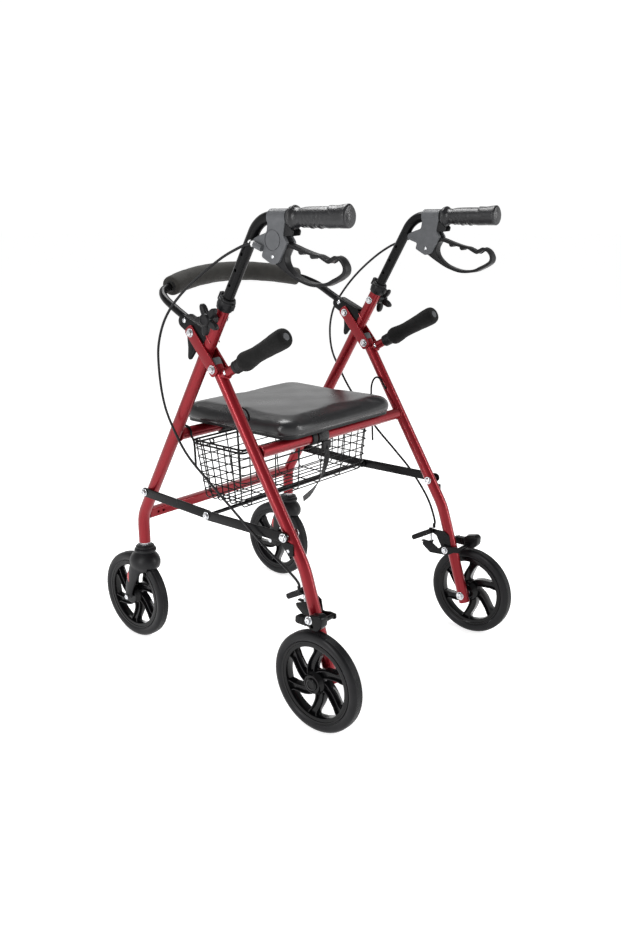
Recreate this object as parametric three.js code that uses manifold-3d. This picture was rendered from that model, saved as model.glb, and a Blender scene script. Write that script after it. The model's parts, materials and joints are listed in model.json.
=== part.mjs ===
// Rollator walker: folding steel frame, four wheels, padded seat, wire basket, brakes.
// Units are millimetres. +X is the user's right, +Y is the walking direction, +Z is up.
import * as THREE from 'three';
import { mergeVertices } from 'three/addons/utils/BufferGeometryUtils.js';
import Module from 'manifold-3d';

const wasm = await Module();
wasm.setup();

// ---- driving dimensions -------------------------------------------------------------
const CENTRE_SHIFT_Y = -2.5; // puts the middle of the wheelbase at the origin
const SIDE_X = 240; // middle plane of each side frame
const WHEEL_R = 100;
const TYRE_HALF_W = 13;
const REAR_WHEEL_X = 277;
const REAR_AXLE = { y: -286, z: 100 };
const STEM_Y = 252;
const CASTER_TRAIL = 39; // the caster wheel stands ahead of its stem
const STEM_BOTTOM_Z = 236;
const UPRIGHT_R = 13;
const UPRIGHT_BORE_R = 11.6;
const UPRIGHT_FOOT = { y: 233, z: 331 }; // a point on the sloping part of the upright
const UPRIGHT_LEAN = 0.5843; // rearward travel of the upright for each unit of height
const UPRIGHT_TOP_Z = 775;
const LEG_R = 12.2;
const LEG_BORE_R = 10.6;
const FOLD_PIVOT = { y: -2, z: 654 };
const BACK_BOLT = { y: 56, z: 720 };
const BACK_HINGE = { y: 76, z: 742 };
const LEG_BEND = { y: -222, z: 300 };
const PLATE_IN = 12.55; // gap between a side frame's middle plane and its link plates
const PLATE_T = 4;
const CROSS_Z = 499; // height of the front tube that carries the seat
const REAR_TUBE = { y: -97.7, z: 500 };
const BRACE_FRONT = { y: 222, z: 362 };
const BRACE_MID = { y: 22, z: 354 };
const BRACE_REAR = { y: -188, z: 357 };
const BRACE_HALF_W = 10;
const GRIP_Z = 936; // height of the hand grips' axis
const GRIP_END_Y = -322;
const HANDLE_R = 10.9;
const SEAT = { halfX: 183, front: 192, rear: -134, bottom: 515.2, top: 554 };
const BASKET = { halfX: 211, rear: -33, front: 110, bottom: 363, top: 489, wall: 3 };
const LEVER_PIVOT = { y: -162, z: 870 };
const ARM_PIVOT = { y: -246, z: 204 };
const GAP = 0.4; // free play between neighbouring pieces

const SLOPE = Math.hypot(1, UPRIGHT_LEAN);
const UP = new THREE.Vector3(0, -UPRIGHT_LEAN / SLOPE, 1 / SLOPE); // along the upright
const uprightY = (z) => UPRIGHT_FOOT.y - (z - UPRIGHT_FOOT.z) * UPRIGHT_LEAN;
const FRONT_TUBE = { y: uprightY(CROSS_Z), z: CROSS_Z };
const WHEEL_FRONT_Y = STEM_Y + CASTER_TRAIL;

// ---- materials ----------------------------------------------------------------------
const COLOURS = {
  red: ['#a3162a', 0.32, 0.6],
  blackPaint: ['#1a1a1c', 0.45, 0.3],
  blackPlastic: ['#222225', 0.5, 0],
  greyPlastic: ['#46484a', 0.55, 0],
  rubber: ['#2f3032', 0.8, 0],
  foam: ['#2c2b28', 0.95, 0],
  vinyl: ['#1c1c1e', 0.45, 0],
  steel: ['#b9bbbd', 0.3, 1],
};

const root = new THREE.Group();
root.name = 'rollator_walker';
root.position.y = CENTRE_SHIFT_Y;

function add(name, geometry, look) {
  const [color, roughness, metalness] = COLOURS[look];
  const material = new THREE.MeshStandardMaterial({ color, roughness, metalness });
  const mesh = new THREE.Mesh(geometry, material);
  mesh.name = name;
  root.add(mesh);
}

function addPair(name, geometry, look) {
  add(`${name}_r`, geometry, look);
  add(`${name}_l`, mirrored(geometry), look);
}

// ---- solid helpers ------------------------------------------------------------------
function bare(geometry) {
  const copy = geometry.clone();
  copy.deleteAttribute('normal');
  copy.deleteAttribute('uv');
  return mergeVertices(copy, 1e-4);
}

function toSolid(geometry) {
  const merged = bare(geometry);
  const solid = new wasm.Mesh({
    numProp: 3,
    vertProperties: new Float32Array(merged.attributes.position.array),
    triVerts: new Uint32Array(merged.index.array),
  });
  return new wasm.Manifold(solid);
}

function fromSolid(solid) {
  const mesh = solid.getMesh();
  const geometry = new THREE.BufferGeometry();
  geometry.setAttribute('position', new THREE.BufferAttribute(mesh.vertProperties, 3));
  geometry.setIndex(new THREE.BufferAttribute(mesh.triVerts, 1));
  return geometry;
}

function join(...geometries) {
  const solids = geometries.map(toSolid);
  return fromSolid(solids.reduce((a, b) => a.add(b)));
}

function cut(geometry, ...tools) {
  return fromSolid(tools.map(toSolid).reduce((a, b) => a.subtract(b), toSolid(geometry)));
}

function mirrored(geometry) {
  const copy = bare(geometry);
  copy.scale(-1, 1, 1);
  const index = copy.index.array;
  for (let i = 0; i < index.length; i += 3) {
    [index[i], index[i + 1]] = [index[i + 1], index[i]];
  }
  return copy;
}

// A path that is sampled exactly at the given points.
class PointPath extends THREE.Curve {
  constructor(points) {
    super();
    this.points = points;
  }
  getPointAt(u, target = new THREE.Vector3()) {
    const last = this.points.length - 1;
    const at = u * last;
    const i = Math.min(Math.floor(at + 1e-9), last - 1);
    return target.copy(this.points[i]).lerp(this.points[i + 1], at - i);
  }
  getPoint(t, target) {
    return this.getPointAt(t, target);
  }
  getTangentAt(u, target = new THREE.Vector3()) {
    const last = this.points.length - 1;
    const i = Math.round(u * last);
    const before = this.points[Math.max(i, 1)].clone().sub(this.points[Math.max(i, 1) - 1]);
    const j = Math.min(i, last - 1);
    const after = this.points[j + 1].clone().sub(this.points[j]);
    return target.copy(before.normalize().add(after.normalize()).normalize());
  }
}

// Points of a bent tube: straight runs joined by arcs of the given radius.
function bent(corners, radius, arcSteps = 4) {
  const points = [corners[0]];
  for (let i = 1; i < corners.length - 1; i += 1) {
    const back = corners[i - 1].clone().sub(corners[i]).normalize();
    const on = corners[i + 1].clone().sub(corners[i]).normalize();
    const half = Math.acos(THREE.MathUtils.clamp(back.dot(on), -1, 1)) / 2;
    const middle = back.clone().add(on).normalize();
    const centre = corners[i].clone().addScaledVector(middle, radius / Math.sin(half));
    const reach = radius / Math.tan(half);
    const from = corners[i].clone().addScaledVector(back, reach).sub(centre);
    const to = corners[i].clone().addScaledVector(on, reach).sub(centre);
    const sweep = from.angleTo(to);
    for (let k = 0; k <= arcSteps; k += 1) {
      const t = k / arcSteps;
      const a = Math.sin((1 - t) * sweep) / Math.sin(sweep);
      const b = Math.sin(t * sweep) / Math.sin(sweep);
      points.push(centre.clone().addScaledVector(from, a).addScaledVector(to, b));
    }
  }
  points.push(corners[corners.length - 1]);
  return points;
}

function circle(radius, sides, hole = 0) {
  const shape = new THREE.Shape(ringPoints(radius, sides));
  if (hole > 0) {
    shape.holes.push(new THREE.Path(ringPoints(hole, sides)));
  }
  return shape;
}

function ringPoints(radius, sides) {
  const points = [];
  for (let i = 0; i < sides; i += 1) {
    const a = ((i + 0.5) / sides) * 2 * Math.PI;
    points.push(new THREE.Vector2(radius * Math.cos(a), radius * Math.sin(a)));
  }
  return points;
}

function sweep(shape, points) {
  const options = { extrudePath: new PointPath(points), steps: points.length - 1 };
  return new THREE.ExtrudeGeometry(shape, options);
}

const tube = (points, radius, sides, hole = 0) => sweep(circle(radius, sides, hole), points);
const v = (x, y, z) => new THREE.Vector3(x, y, z);

// A turned piece: profile of [radius, distance] along the direction from a start point.
function turned(profile, start, direction, sides) {
  const points = profile.map(([r, s]) => new THREE.Vector2(r, s));
  const geometry = new THREE.LatheGeometry(points, sides);
  const turn = new THREE.Quaternion().setFromUnitVectors(v(0, 1, 0), direction);
  geometry.applyQuaternion(turn);
  geometry.translate(start.x, start.y, start.z);
  return geometry;
}

function rod(from, to, radius, sides = 12) {
  const along = to.clone().sub(from);
  const length = along.length();
  const profile = [[0, 0], [radius, 0], [radius, length], [0, length]];
  return turned(profile, from, along.normalize(), sides);
}

// A flat piece: a [y, z] outline given thickness from x0 to x1.
function plate(outline, x0, x1, holes = []) {
  const shape = new THREE.Shape(outline.map(([y, z]) => new THREE.Vector2(y, z)));
  for (const { y, z, r } of holes) {
    const rim = ringPoints(r, 12).map((p) => new THREE.Vector2(p.x + y, p.y + z));
    shape.holes.push(new THREE.Path(rim));
  }
  const geometry = new THREE.ExtrudeGeometry(shape, { depth: x1 - x0, bevelEnabled: false });
  // shape x -> world y, shape y -> world z, depth -> world x
  const basis = new THREE.Matrix4().makeBasis(v(0, 1, 0), v(0, 0, 1), v(1, 0, 0));
  geometry.applyMatrix4(basis);
  geometry.translate(x0, 0, 0);
  return geometry;
}

// Outline of a bar with round ends.
function capsule(a, b, radius, steps = 6) {
  const heading = Math.atan2(b.z - a.z, b.y - a.y);
  const outline = [];
  for (const [end, start] of [[b, -Math.PI / 2], [a, Math.PI / 2]]) {
    for (let i = 0; i <= steps; i += 1) {
      const angle = heading + start + (i / steps) * Math.PI;
      outline.push([end.y + radius * Math.cos(angle), end.z + radius * Math.sin(angle)]);
    }
  }
  return outline;
}

function block(x0, x1, y0, y1, z0, z1) {
  const geometry = new THREE.BoxGeometry(x1 - x0, y1 - y0, z1 - z0);
  geometry.translate((x0 + x1) / 2, (y0 + y1) / 2, (z0 + z1) / 2);
  return geometry;
}

const pin = (at, x0, x1, radius, sides = 12) => rod(v(x0, at.y, at.z), v(x1, at.y, at.z), radius, sides);

// A bolt along X with a head at each end.
function bolt(at, x0, x1, shank, head, headT) {
  const profile = [
    [0, 0], [head, 0], [head, headT], [shank, headT],
    [shank, x1 - x0 - headT], [head, x1 - x0 - headT], [head, x1 - x0], [0, x1 - x0],
  ];
  return turned(profile, v(x0, at.y, at.z), v(1, 0, 0), 10);
}

// ---- front frame --------------------------------------------------------------------
function frontUpright() {
  const cornerZ = UPRIGHT_FOOT.z - (STEM_Y - UPRIGHT_FOOT.y) / UPRIGHT_LEAN;
  const corners = [
    v(SIDE_X, STEM_Y, STEM_BOTTOM_Z),
    v(SIDE_X, STEM_Y, cornerZ),
    v(SIDE_X, uprightY(UPRIGHT_TOP_Z), UPRIGHT_TOP_Z),
  ];
  const post = tube(bent(corners, 80, 3), UPRIGHT_R, 14);
  const outline = capsule(FOLD_PIVOT, BACK_BOLT, 15);
  const holes = [{ ...FOLD_PIVOT, r: 4.6 }, { ...BACK_BOLT, r: 4.6 }];
  const outer = plate(outline, SIDE_X + PLATE_IN, SIDE_X + PLATE_IN + PLATE_T, holes);
  const inner = plate(outline, SIDE_X - PLATE_IN - PLATE_T, SIDE_X - PLATE_IN, holes);
  const ends = [corners[0].clone().add(v(0, 0, -5)), corners[1], corners[2].clone().addScaledVector(UP, 5)];
  const bore = tube(bent(ends, 80, 3), UPRIGHT_BORE_R, 14);
  const welded = cut(join(post, outer, inner), bore);
  return cut(welded, pin(BRACE_FRONT, SIDE_X - 30, SIDE_X + 30, 4.6));
}

function crossTubes() {
  const x = SIDE_X - UPRIGHT_R - GAP;
  add('cross_tube_front', pin(FRONT_TUBE, -x, x, 12.4, 16), 'red');
  const bar = block(-x, x, STEM_Y - 10, STEM_Y + 10, 290, 310);
  const holes = [205, 190, -190, -205].map((at) => rod(v(at, 200, 300), v(at, 300, 300), 3, 8));
  add('crossbar_lower', cut(bar, ...holes), 'red');
}

function collar() {
  const start = v(SIDE_X, uprightY(765), 765);
  const s1 = (UPRIGHT_TOP_Z - 765) * SLOPE + GAP;
  const s2 = (792 - 765) * SLOPE;
  const bore = UPRIGHT_R + GAP;
  const throat = HANDLE_R + GAP;
  const profile = [
    [bore, 0], [17, 0], [18.5, 6], [21, 11], [21, s2 - 3], [18, s2], [throat, s2],
    [throat, s1], [bore, s1], [bore, 0],
  ];
  return turned(profile, start, UP, 16);
}

function starKnob() {
  const at = { y: uprightY(752), z: 752 };
  const shape = [];
  for (let i = 0; i < 30; i += 1) {
    const a = (i / 30) * 2 * Math.PI;
    const r = 22.5 + 6.5 * Math.cos(5 * a);
    shape.push([at.y + r * Math.cos(a), at.z + r * Math.sin(a)]);
  }
  const head = plate(shape, SIDE_X + 24, SIDE_X + 37);
  const hub = pin(at, SIDE_X + 22 + GAP, SIDE_X + 41, 11, 14);
  const screw = pin(at, SIDE_X + 13 + GAP, SIDE_X + 30, 4, 12);
  return join(head, hub, screw);
}

function backrestBracket() {
  const cheek = [[92, 742], [86, 756], [60, 762], [22, 743], [16, 726], [38, 706], [62, 702], [84, 722]];
  const x0 = SIDE_X - 21;
  const x1 = SIDE_X + 21;
  const outer = plate(cheek, SIDE_X + 17, x1);
  const inner = plate(cheek, x0, SIDE_X - 17);
  const roof = plate([[60, 762], [22, 743], [23.5, 740], [60, 758.5]], x0 + 1, x1 - 1);
  const lug = bolt(BACK_BOLT, x0 - 4, x1 + 4, 4, 8, 4.5);
  const rivet = bolt(BACK_HINGE, x0 - 2, x1 + 2, 3.2, 6, 3);
  return join(outer, inner, roof, lug, rivet);
}

function frontFrame() {
  addPair('front_upright', frontUpright(), 'red');
  crossTubes();
  addPair('height_collar', collar(), 'blackPlastic');
  addPair('pivot_bolt', bolt(FOLD_PIVOT, SIDE_X - 22, SIDE_X + 22, 4, 8, 5), 'steel');
  addPair('backrest_bracket', backrestBracket(), 'blackPaint');
  addPair('brace_bolt_front', bolt(BRACE_FRONT, SIDE_X - 18.5, SIDE_X + 23.5, 4, 7.5, 5), 'steel');
}

// ---- rear frame ---------------------------------------------------------------------
function rearLeg() {
  const foot = v(SIDE_X, REAR_AXLE.y - 5.4, REAR_AXLE.z - 17);
  const bend = v(SIDE_X, LEG_BEND.y, LEG_BEND.z);
  const up = v(0, FOLD_PIVOT.y - LEG_BEND.y, FOLD_PIVOT.z - LEG_BEND.z).normalize();
  const top = v(SIDE_X, FOLD_PIVOT.y, FOLD_PIVOT.z).addScaledVector(up, 20);
  const corners = [foot, bend, top];
  const post = tube(bent(corners, 160, 3), LEG_R, 14);
  const stub = rod(LIFT_START.clone().addScaledVector(LIFT_WAY, -48), liftAt(62), 9.5, 12);
  const ends = [foot.clone().add(v(0, -1.6, -5)), bend, top.clone().addScaledVector(up, 5)];
  const core = tube(bent(ends, 160, 3), LEG_BORE_R, 14);
  const holes = [
    pin(FOLD_PIVOT, SIDE_X - 30, SIDE_X + 30, 4.6),
    pin(BRACE_REAR, SIDE_X - 30, SIDE_X + 30, 4.6),
    pin(REAR_AXLE, SIDE_X - 30, SIDE_X + 30, 5.6),
  ];
  return cut(join(post, stub), core, ...holes);
}

const LIFT_START = v(SIDE_X, -58, 665);
const LIFT_WAY = v(0, -0.88, 0.475).normalize();
const liftAt = (s) => LIFT_START.clone().addScaledVector(LIFT_WAY, s);

function liftGrip() {
  const profile = [
    [0, 66], [9.9, 66], [9.9, 0], [13, 0], [13, 11], [16, 12], [17, 40], [16.2, 75],
    [17, 110], [17.6, 128], [19, 130], [19, 136], [16, 140], [0, 140],
  ];
  return turned(profile, LIFT_START, LIFT_WAY, 16);
}

// A wire beside the basket that curls over at its top and is fixed to the leg's inner side.
function legHanger() {
  const x = SIDE_X - 20.5;
  const line = [
    [x, -36, 428], [x, -34, 470], [x, -31, 520], [x, -29.5, 552], [x, -34, 570], [x, -43, 579],
    [x, -54, 577], [x, -62, 568], [x + 1.6, -65.5, 560], [x + 4.5, -65, 556.6],
    [SIDE_X - 12.7, -64.5, 556],
  ];
  return tube(line.map((p) => v(...p)), 2.4, 8);
}

function pullStrap() {
  const top = { y: REAR_TUBE.y, z: REAR_TUBE.z };
  const low = { y: REAR_TUBE.y - 2, z: 488 };
  const outline = capsule(low, top, LEG_R + GAP + 2, 8);
  const hole = capsule(low, top, LEG_R + GAP, 8).map(([y, z]) => new THREE.Vector2(y, z));
  const shape = new THREE.Shape(outline.map(([y, z]) => new THREE.Vector2(y, z)));
  shape.holes.push(new THREE.Path(hole));
  const geometry = new THREE.ExtrudeGeometry(shape, { depth: 25, bevelEnabled: false });
  geometry.applyMatrix4(new THREE.Matrix4().makeBasis(v(0, 1, 0), v(0, 0, 1), v(1, 0, 0)));
  geometry.translate(-84, 0, 0);
  return geometry;
}

function brakeBracket() {
  const x1 = SIDE_X - LEG_R - GAP;
  const outline = [
    [-240, 246], [-252, 238], [-258, 204], [-252, 194], [-240, 194], [-230, 212],
    [-218, 232], [-198, 240], [-198, 244], [-222, 246],
  ];
  const web = plate(outline, x1 - 3, x1);
  const stop = block(x1 - 2, x1 + 16, -212, -198, 240, 244);
  const lug = pin(ARM_PIVOT, x1 - 14, x1 - 1, 4);
  return join(web, stop, lug);
}

function brakeArm() {
  const x1 = SIDE_X - LEG_R - GAP - 3 - GAP;
  const outline = [
    [-184, 210], [-186, 203], [-206, 189], [-240, 192], [-252, 193], [-268, 203], [-284, 206],
    [-284, 216], [-270, 217], [-256, 214], [-240, 215], [-227, 203], [-210, 213], [-215, 222],
  ];
  const arm = plate(outline, x1 - 5, x1, [{ ...ARM_PIVOT, r: 4.6 }]);
  const bar = pin({ y: -278, z: 211.5 }, x1 - 3, SIDE_X + 45, 4.5);
  const shoeOutline = [
    [-279, 203.4], [-268, 207], [-265, 226], [-272, 232], [-294, 237], [-301, 232], [-300, 215],
    [-290, 204],
  ];
  const shoe = plate(shoeOutline, SIDE_X + 26, SIDE_X + 45);
  const tabOutline = [[-267, 207], [-236, 206], [-236, 221], [-267, 224]];
  const tab = plate(tabOutline, SIDE_X + 29, SIDE_X + 43);
  return join(arm, bar, shoe, tab);
}

function rearFrame() {
  addPair('rear_leg', rearLeg(), 'red');
  const x = SIDE_X - LEG_R - GAP;
  add('cross_tube_rear', pin(REAR_TUBE, -x, x, 12, 16), 'red');
  addPair('lift_grip', liftGrip(), 'foam');
  addPair('brace_bolt_rear', bolt(BRACE_REAR, SIDE_X - 17.5, SIDE_X + 28, 4, 7.5, 4.5), 'steel');
  addPair('rear_axle', bolt(REAR_AXLE, SIDE_X - 18, REAR_WHEEL_X + 15, 5, 8, 5), 'steel');
  addPair('brake_bracket', brakeBracket(), 'blackPaint');
  addPair('brake_arm', brakeArm(), 'blackPaint');
  addPair('basket_hanger', legHanger(), 'blackPaint');
  add('pull_strap', pullStrap(), 'blackPlastic');
}

// ---- folding side braces ------------------------------------------------------------
function braces() {
  const x0 = SIDE_X + UPRIGHT_R + GAP;
  const bar = (side) => {
    const outline = capsule(BRACE_MID, BRACE_FRONT, BRACE_HALF_W);
    const link = plate(outline, x0, x0 + 4, [{ ...BRACE_FRONT, r: 4.5 }]);
    return side > 0 ? link : mirrored(link);
  };
  const spreader = pin(BRACE_MID, -x0 - 1, x0 + 1, 4, 12);
  add('brace_front', join(bar(1), bar(-1), spreader), 'blackPaint');
  const outline = capsule(BRACE_REAR, BRACE_MID, BRACE_HALF_W);
  const link = plate(outline, x0 + 4 + GAP, x0 + 8 + GAP, [{ ...BRACE_REAR, r: 4.5 }]);
  addPair('brace_rear', link, 'blackPaint');
}

// ---- seat, basket and backrest ------------------------------------------------------
function roundedRect(x0, x1, y0, y1, radius, steps = 5) {
  const shape = new THREE.Shape();
  const corners = [[x1, y1, 0], [x0, y1, 1], [x0, y0, 2], [x1, y0, 3]];
  const points = [];
  for (const [x, y, quarter] of corners) {
    const cx = x === x1 ? x1 - radius : x0 + radius;
    const cy = y === y1 ? y1 - radius : y0 + radius;
    for (let i = 0; i <= steps; i += 1) {
      const a = (quarter + i / steps) * (Math.PI / 2);
      points.push(new THREE.Vector2(cx + radius * Math.cos(a), cy + radius * Math.sin(a)));
    }
  }
  shape.setFromPoints(points);
  return shape;
}

function seat() {
  const { halfX, front, rear, bottom, top } = SEAT;
  const split = bottom + 5 + GAP;
  const bevel = 9;
  const shape = roundedRect(-halfX + bevel, halfX - bevel, rear + bevel, front - bevel, 32);
  const options = {
    depth: top - split - 2 * bevel,
    bevelSize: bevel,
    bevelThickness: bevel,
    bevelSegments: 3,
  };
  const pad = new THREE.ExtrudeGeometry(shape, options);
  pad.translate(0, 0, split + bevel);
  add('seat_pad', pad, 'vinyl');
  const board = new THREE.ExtrudeGeometry(
    roundedRect(-halfX + 12, halfX - 12, rear + 12, front - 12, 26),
    { depth: 5, bevelEnabled: false },
  );
  board.translate(0, 0, bottom);
  const clip = (x) => {
    const inner = 12.4 + GAP;
    const ring = [[inner, 0], [inner + 4.4, 0], [inner + 4.4, 24], [inner, 24], [inner, 0]];
    return turned(ring, v(x, FRONT_TUBE.y, FRONT_TUBE.z), v(1, 0, 0), 16);
  };
  add('seat_board', join(board, clip(-112), clip(88)), 'blackPaint');
}

function basket() {
  const { halfX, rear, front, bottom, top, wall } = BASKET;
  const shape = (grow) => {
    const low = 14;
    const p = [
      [-halfX + low + grow, rear + low / 2 + grow, bottom + grow],
      [halfX - low - grow, rear + low / 2 + grow, bottom + grow],
      [halfX - low - grow, front - low - grow, bottom + grow],
      [-halfX + low + grow, front - low - grow, bottom + grow],
      [-halfX + grow, rear + grow, top + (grow ? 1 : 0)],
      [halfX - grow, rear + grow, top + (grow ? 1 : 0)],
      [halfX - grow, front - grow, top + (grow ? 1 : 0)],
      [-halfX + grow, front - grow, top + (grow ? 1 : 0)],
    ];
    const faces = [
      [0, 2, 1], [0, 3, 2], [4, 5, 6], [4, 6, 7], [0, 1, 5], [0, 5, 4],
      [1, 2, 6], [1, 6, 5], [2, 3, 7], [2, 7, 6], [3, 0, 4], [3, 4, 7],
    ];
    const geometry = new THREE.BufferGeometry();
    geometry.setAttribute('position', new THREE.Float32BufferAttribute(p.flat(), 3));
    geometry.setIndex(faces.flat());
    return geometry;
  };
  const shell = cut(shape(0), shape(wall));
  const reach = 12.4 + GAP + 2.4;
  const hook = (side) => {
    const x = side * (halfX - 4);
    const points = [v(x, front - 2, top - 14), v(x, front + 2, top - 2)];
    for (let i = 0; i <= 7; i += 1) {
      const a = THREE.MathUtils.degToRad(195 - i * 30);
      points.push(v(x, FRONT_TUBE.y + reach * Math.cos(a), FRONT_TUBE.z + reach * Math.sin(a)));
    }
    return tube(points, 2.4, 8);
  };
  add('wire_basket', join(shell, hook(1), hook(-1)), 'blackPaint');
}

function backrest() {
  const half = [
    v(240, BACK_HINGE.y, BACK_HINGE.z),
    v(240, 112, 760),
    v(238, 144, 777),
    v(227, 166, 788),
    v(208, 178, 796),
    v(150, 194, 808),
    v(80, 205, 816),
    v(0, 209, 819),
  ];
  const other = half.slice(0, -1).reverse().map((p) => v(-p.x, p.y, p.z));
  const bar = tube([...half, ...other], 8, 12);
  const holes = [1, -1].map((s) => pin(BACK_HINGE, s * 200, s * 280, 3.6));
  const eye = [1, -1].map((s) => pin(BACK_HINGE, s * 232, s * 248, 8));
  add('backrest_bar', cut(join(bar, ...eye), ...holes), 'blackPaint');
  const core = [];
  for (let i = 0; i <= 10; i += 1) {
    const t = i / 5 - 1;
    const x = 196 * t;
    core.push(v(x, 209 - 31 * t * t, 819 - 20 * t * t));
  }
  const sleeve = tube(core, 21, 14);
  const clearance = tube([...half, ...other], 8.6, 12);
  add('backrest_pad', cut(sleeve, clearance), 'foam');
}

// ---- handles ------------------------------------------------------------------------
function handleCorners() {
  const low = v(SIDE_X, uprightY(628), 628);
  const corner = v(SIDE_X, uprightY(GRIP_Z), GRIP_Z);
  const end = v(SIDE_X, GRIP_END_Y + 4, GRIP_Z);
  return [low, corner, end];
}

function handleTube() {
  const points = bent(handleCorners(), 52, 5);
  const post = tube(points, HANDLE_R, 12, 9.3);
  const holes = [872, 843, 815].map((z) => pin({ y: uprightY(z), z }, 200, 280, 3.2, 8));
  return cut(post, ...holes);
}

function handGrip() {
  const start = v(SIDE_X, -196, GRIP_Z);
  const profile = [
    [0, 123], [11.4, 123], [11.4, 0], [20, 0], [20.5, 3], [16.5, 12], [16.5, 40], [18, 60],
    [17, 84], [17.5, 104], [20.5, 118], [20.5, 124], [18, 127], [0, 127],
  ];
  return turned(profile, start, v(0, -1, 0), 16);
}

function brakeHousing() {
  const outline = [
    [-150, 950], [-188, 950], [-192, 944], [-192, 924], [-187, 904], [-186, 884], [-178, 866],
    [-164, 858], [-150, 862], [-132, 882], [-117, 888], [-113, 896], [-120, 903], [-140, 912],
    [-148, 922],
  ];
  const shell = plate(outline, SIDE_X - 14, SIDE_X + 14);
  const disc = pin({ y: -165, z: 898 }, SIDE_X + 10, SIDE_X + 17, 16, 20);
  const clear = tube(bent(handleCorners(), 52, 5), HANDLE_R + GAP, 12);
  const slot = block(SIDE_X - 7, SIDE_X + 7, -230, -149, 840, 906);
  const hinge = pin(LEVER_PIVOT, SIDE_X - 10, SIDE_X + 10, 3.2);
  const boss = rod(v(SIDE_X + 16, -138, 884), v(SIDE_X + 16, -116, 892), 6, 12);
  return join(cut(join(shell, disc), clear, slot), hinge, boss);
}

function spline(points, steps) {
  const curve = new THREE.SplineCurve(points.map(([y, z]) => new THREE.Vector2(y, z)));
  return curve.getPoints(steps).slice(0, -1);
}

function brakeLever() {
  const outer = [
    [-153, 866], [-158, 880], [-180, 892], [-220, 889], [-262, 881], [-298, 874], [-318, 862],
    [-322, 850], [-308, 836], [-276, 816], [-248, 815], [-214, 822], [-186, 836], [-165, 852],
    [-153, 866],
  ];
  const inner = [
    [-190, 868], [-196, 876], [-220, 874], [-262, 866], [-294, 859], [-304, 852], [-300, 844],
    [-270, 830], [-244, 829], [-214, 838], [-194, 852], [-190, 868],
  ];
  const shape = new THREE.Shape(spline(outer, 26));
  shape.holes.push(new THREE.Path(spline(inner, 20)));
  shape.holes.push(
    new THREE.Path(ringPoints(3.8, 10).map((p) => new THREE.Vector2(p.x + LEVER_PIVOT.y, p.y + LEVER_PIVOT.z))),
  );
  const geometry = new THREE.ExtrudeGeometry(shape, {
    depth: 9, bevelEnabled: true, bevelThickness: 2, bevelSize: 1.5, bevelSegments: 1,
    bevelOffset: -1.5,
  });
  geometry.applyMatrix4(new THREE.Matrix4().makeBasis(v(0, 1, 0), v(0, 0, 1), v(1, 0, 0)));
  geometry.translate(SIDE_X - 4.5, 0, 0);
  return geometry;
}

function handles() {
  addPair('handle_tube', handleTube(), 'blackPaint');
  addPair('hand_grip', handGrip(), 'rubber');
  addPair('brake_housing', brakeHousing(), 'greyPlastic');
  addPair('brake_lever', brakeLever(), 'blackPlastic');
  addPair('star_knob', starKnob(), 'blackPlastic');
}

// ---- wheels and casters -------------------------------------------------------------
function casterFork() {
  const axis = v(SIDE_X, STEM_Y, 0);
  const head = turned(
    [[0, 190], [30, 190], [33, 197], [30, 207], [22, 214], [24, 217], [24, 226], [14, 230],
      [14, 235.4], [8, 235.4], [8, 262], [0, 262]],
    axis, v(0, 0, 1), 16,
  );
  const legOutline = [
    [STEM_Y - 22, 196], [STEM_Y - 16, 166], [STEM_Y + 4, 158], [STEM_Y + 24, 132],
    [WHEEL_FRONT_Y - 12, 104], [WHEEL_FRONT_Y - 9, 90], [WHEEL_FRONT_Y, 86],
    [WHEEL_FRONT_Y + 9, 90], [WHEEL_FRONT_Y + 12, 102], [WHEEL_FRONT_Y + 12, 130],
    [STEM_Y + 46, 166], [STEM_Y + 38, 196], [STEM_Y + 20, 210], [STEM_Y - 16, 210],
  ];
  const left = plate(legOutline, SIDE_X - 29, SIDE_X - 21);
  const right = plate(legOutline, SIDE_X + 21, SIDE_X + 29);
  const bridgeOutline = [
    [STEM_Y - 22, 206], [STEM_Y - 22, 190], [STEM_Y + 38, 190], [STEM_Y + 34, 206],
    [STEM_Y + 20, 212], [STEM_Y - 16, 212],
  ];
  const bridge = plate(bridgeOutline, SIDE_X - 27, SIDE_X + 27);
  const room = pin({ y: WHEEL_FRONT_Y, z: 100 }, SIDE_X - 16, SIDE_X + 16, WHEEL_R + 5, 26);
  const axle = bolt({ y: WHEEL_FRONT_Y, z: 100 }, SIDE_X - 33, SIDE_X + 33, 4.5, 7, 4);
  return join(cut(join(head, left, right, bridge), room), axle);
}

function tyre(x, y) {
  const w = TYRE_HALF_W;
  const profile = [
    [82, -w + 2], [88, -w], [97, -w + 5], [WHEEL_R, -3], [WHEEL_R, 3], [97, w - 5], [88, w],
    [82, w - 2], [82, -w + 2],
  ];
  return turned(profile, v(x, y, 100), v(1, 0, 0), 30);
}

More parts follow.
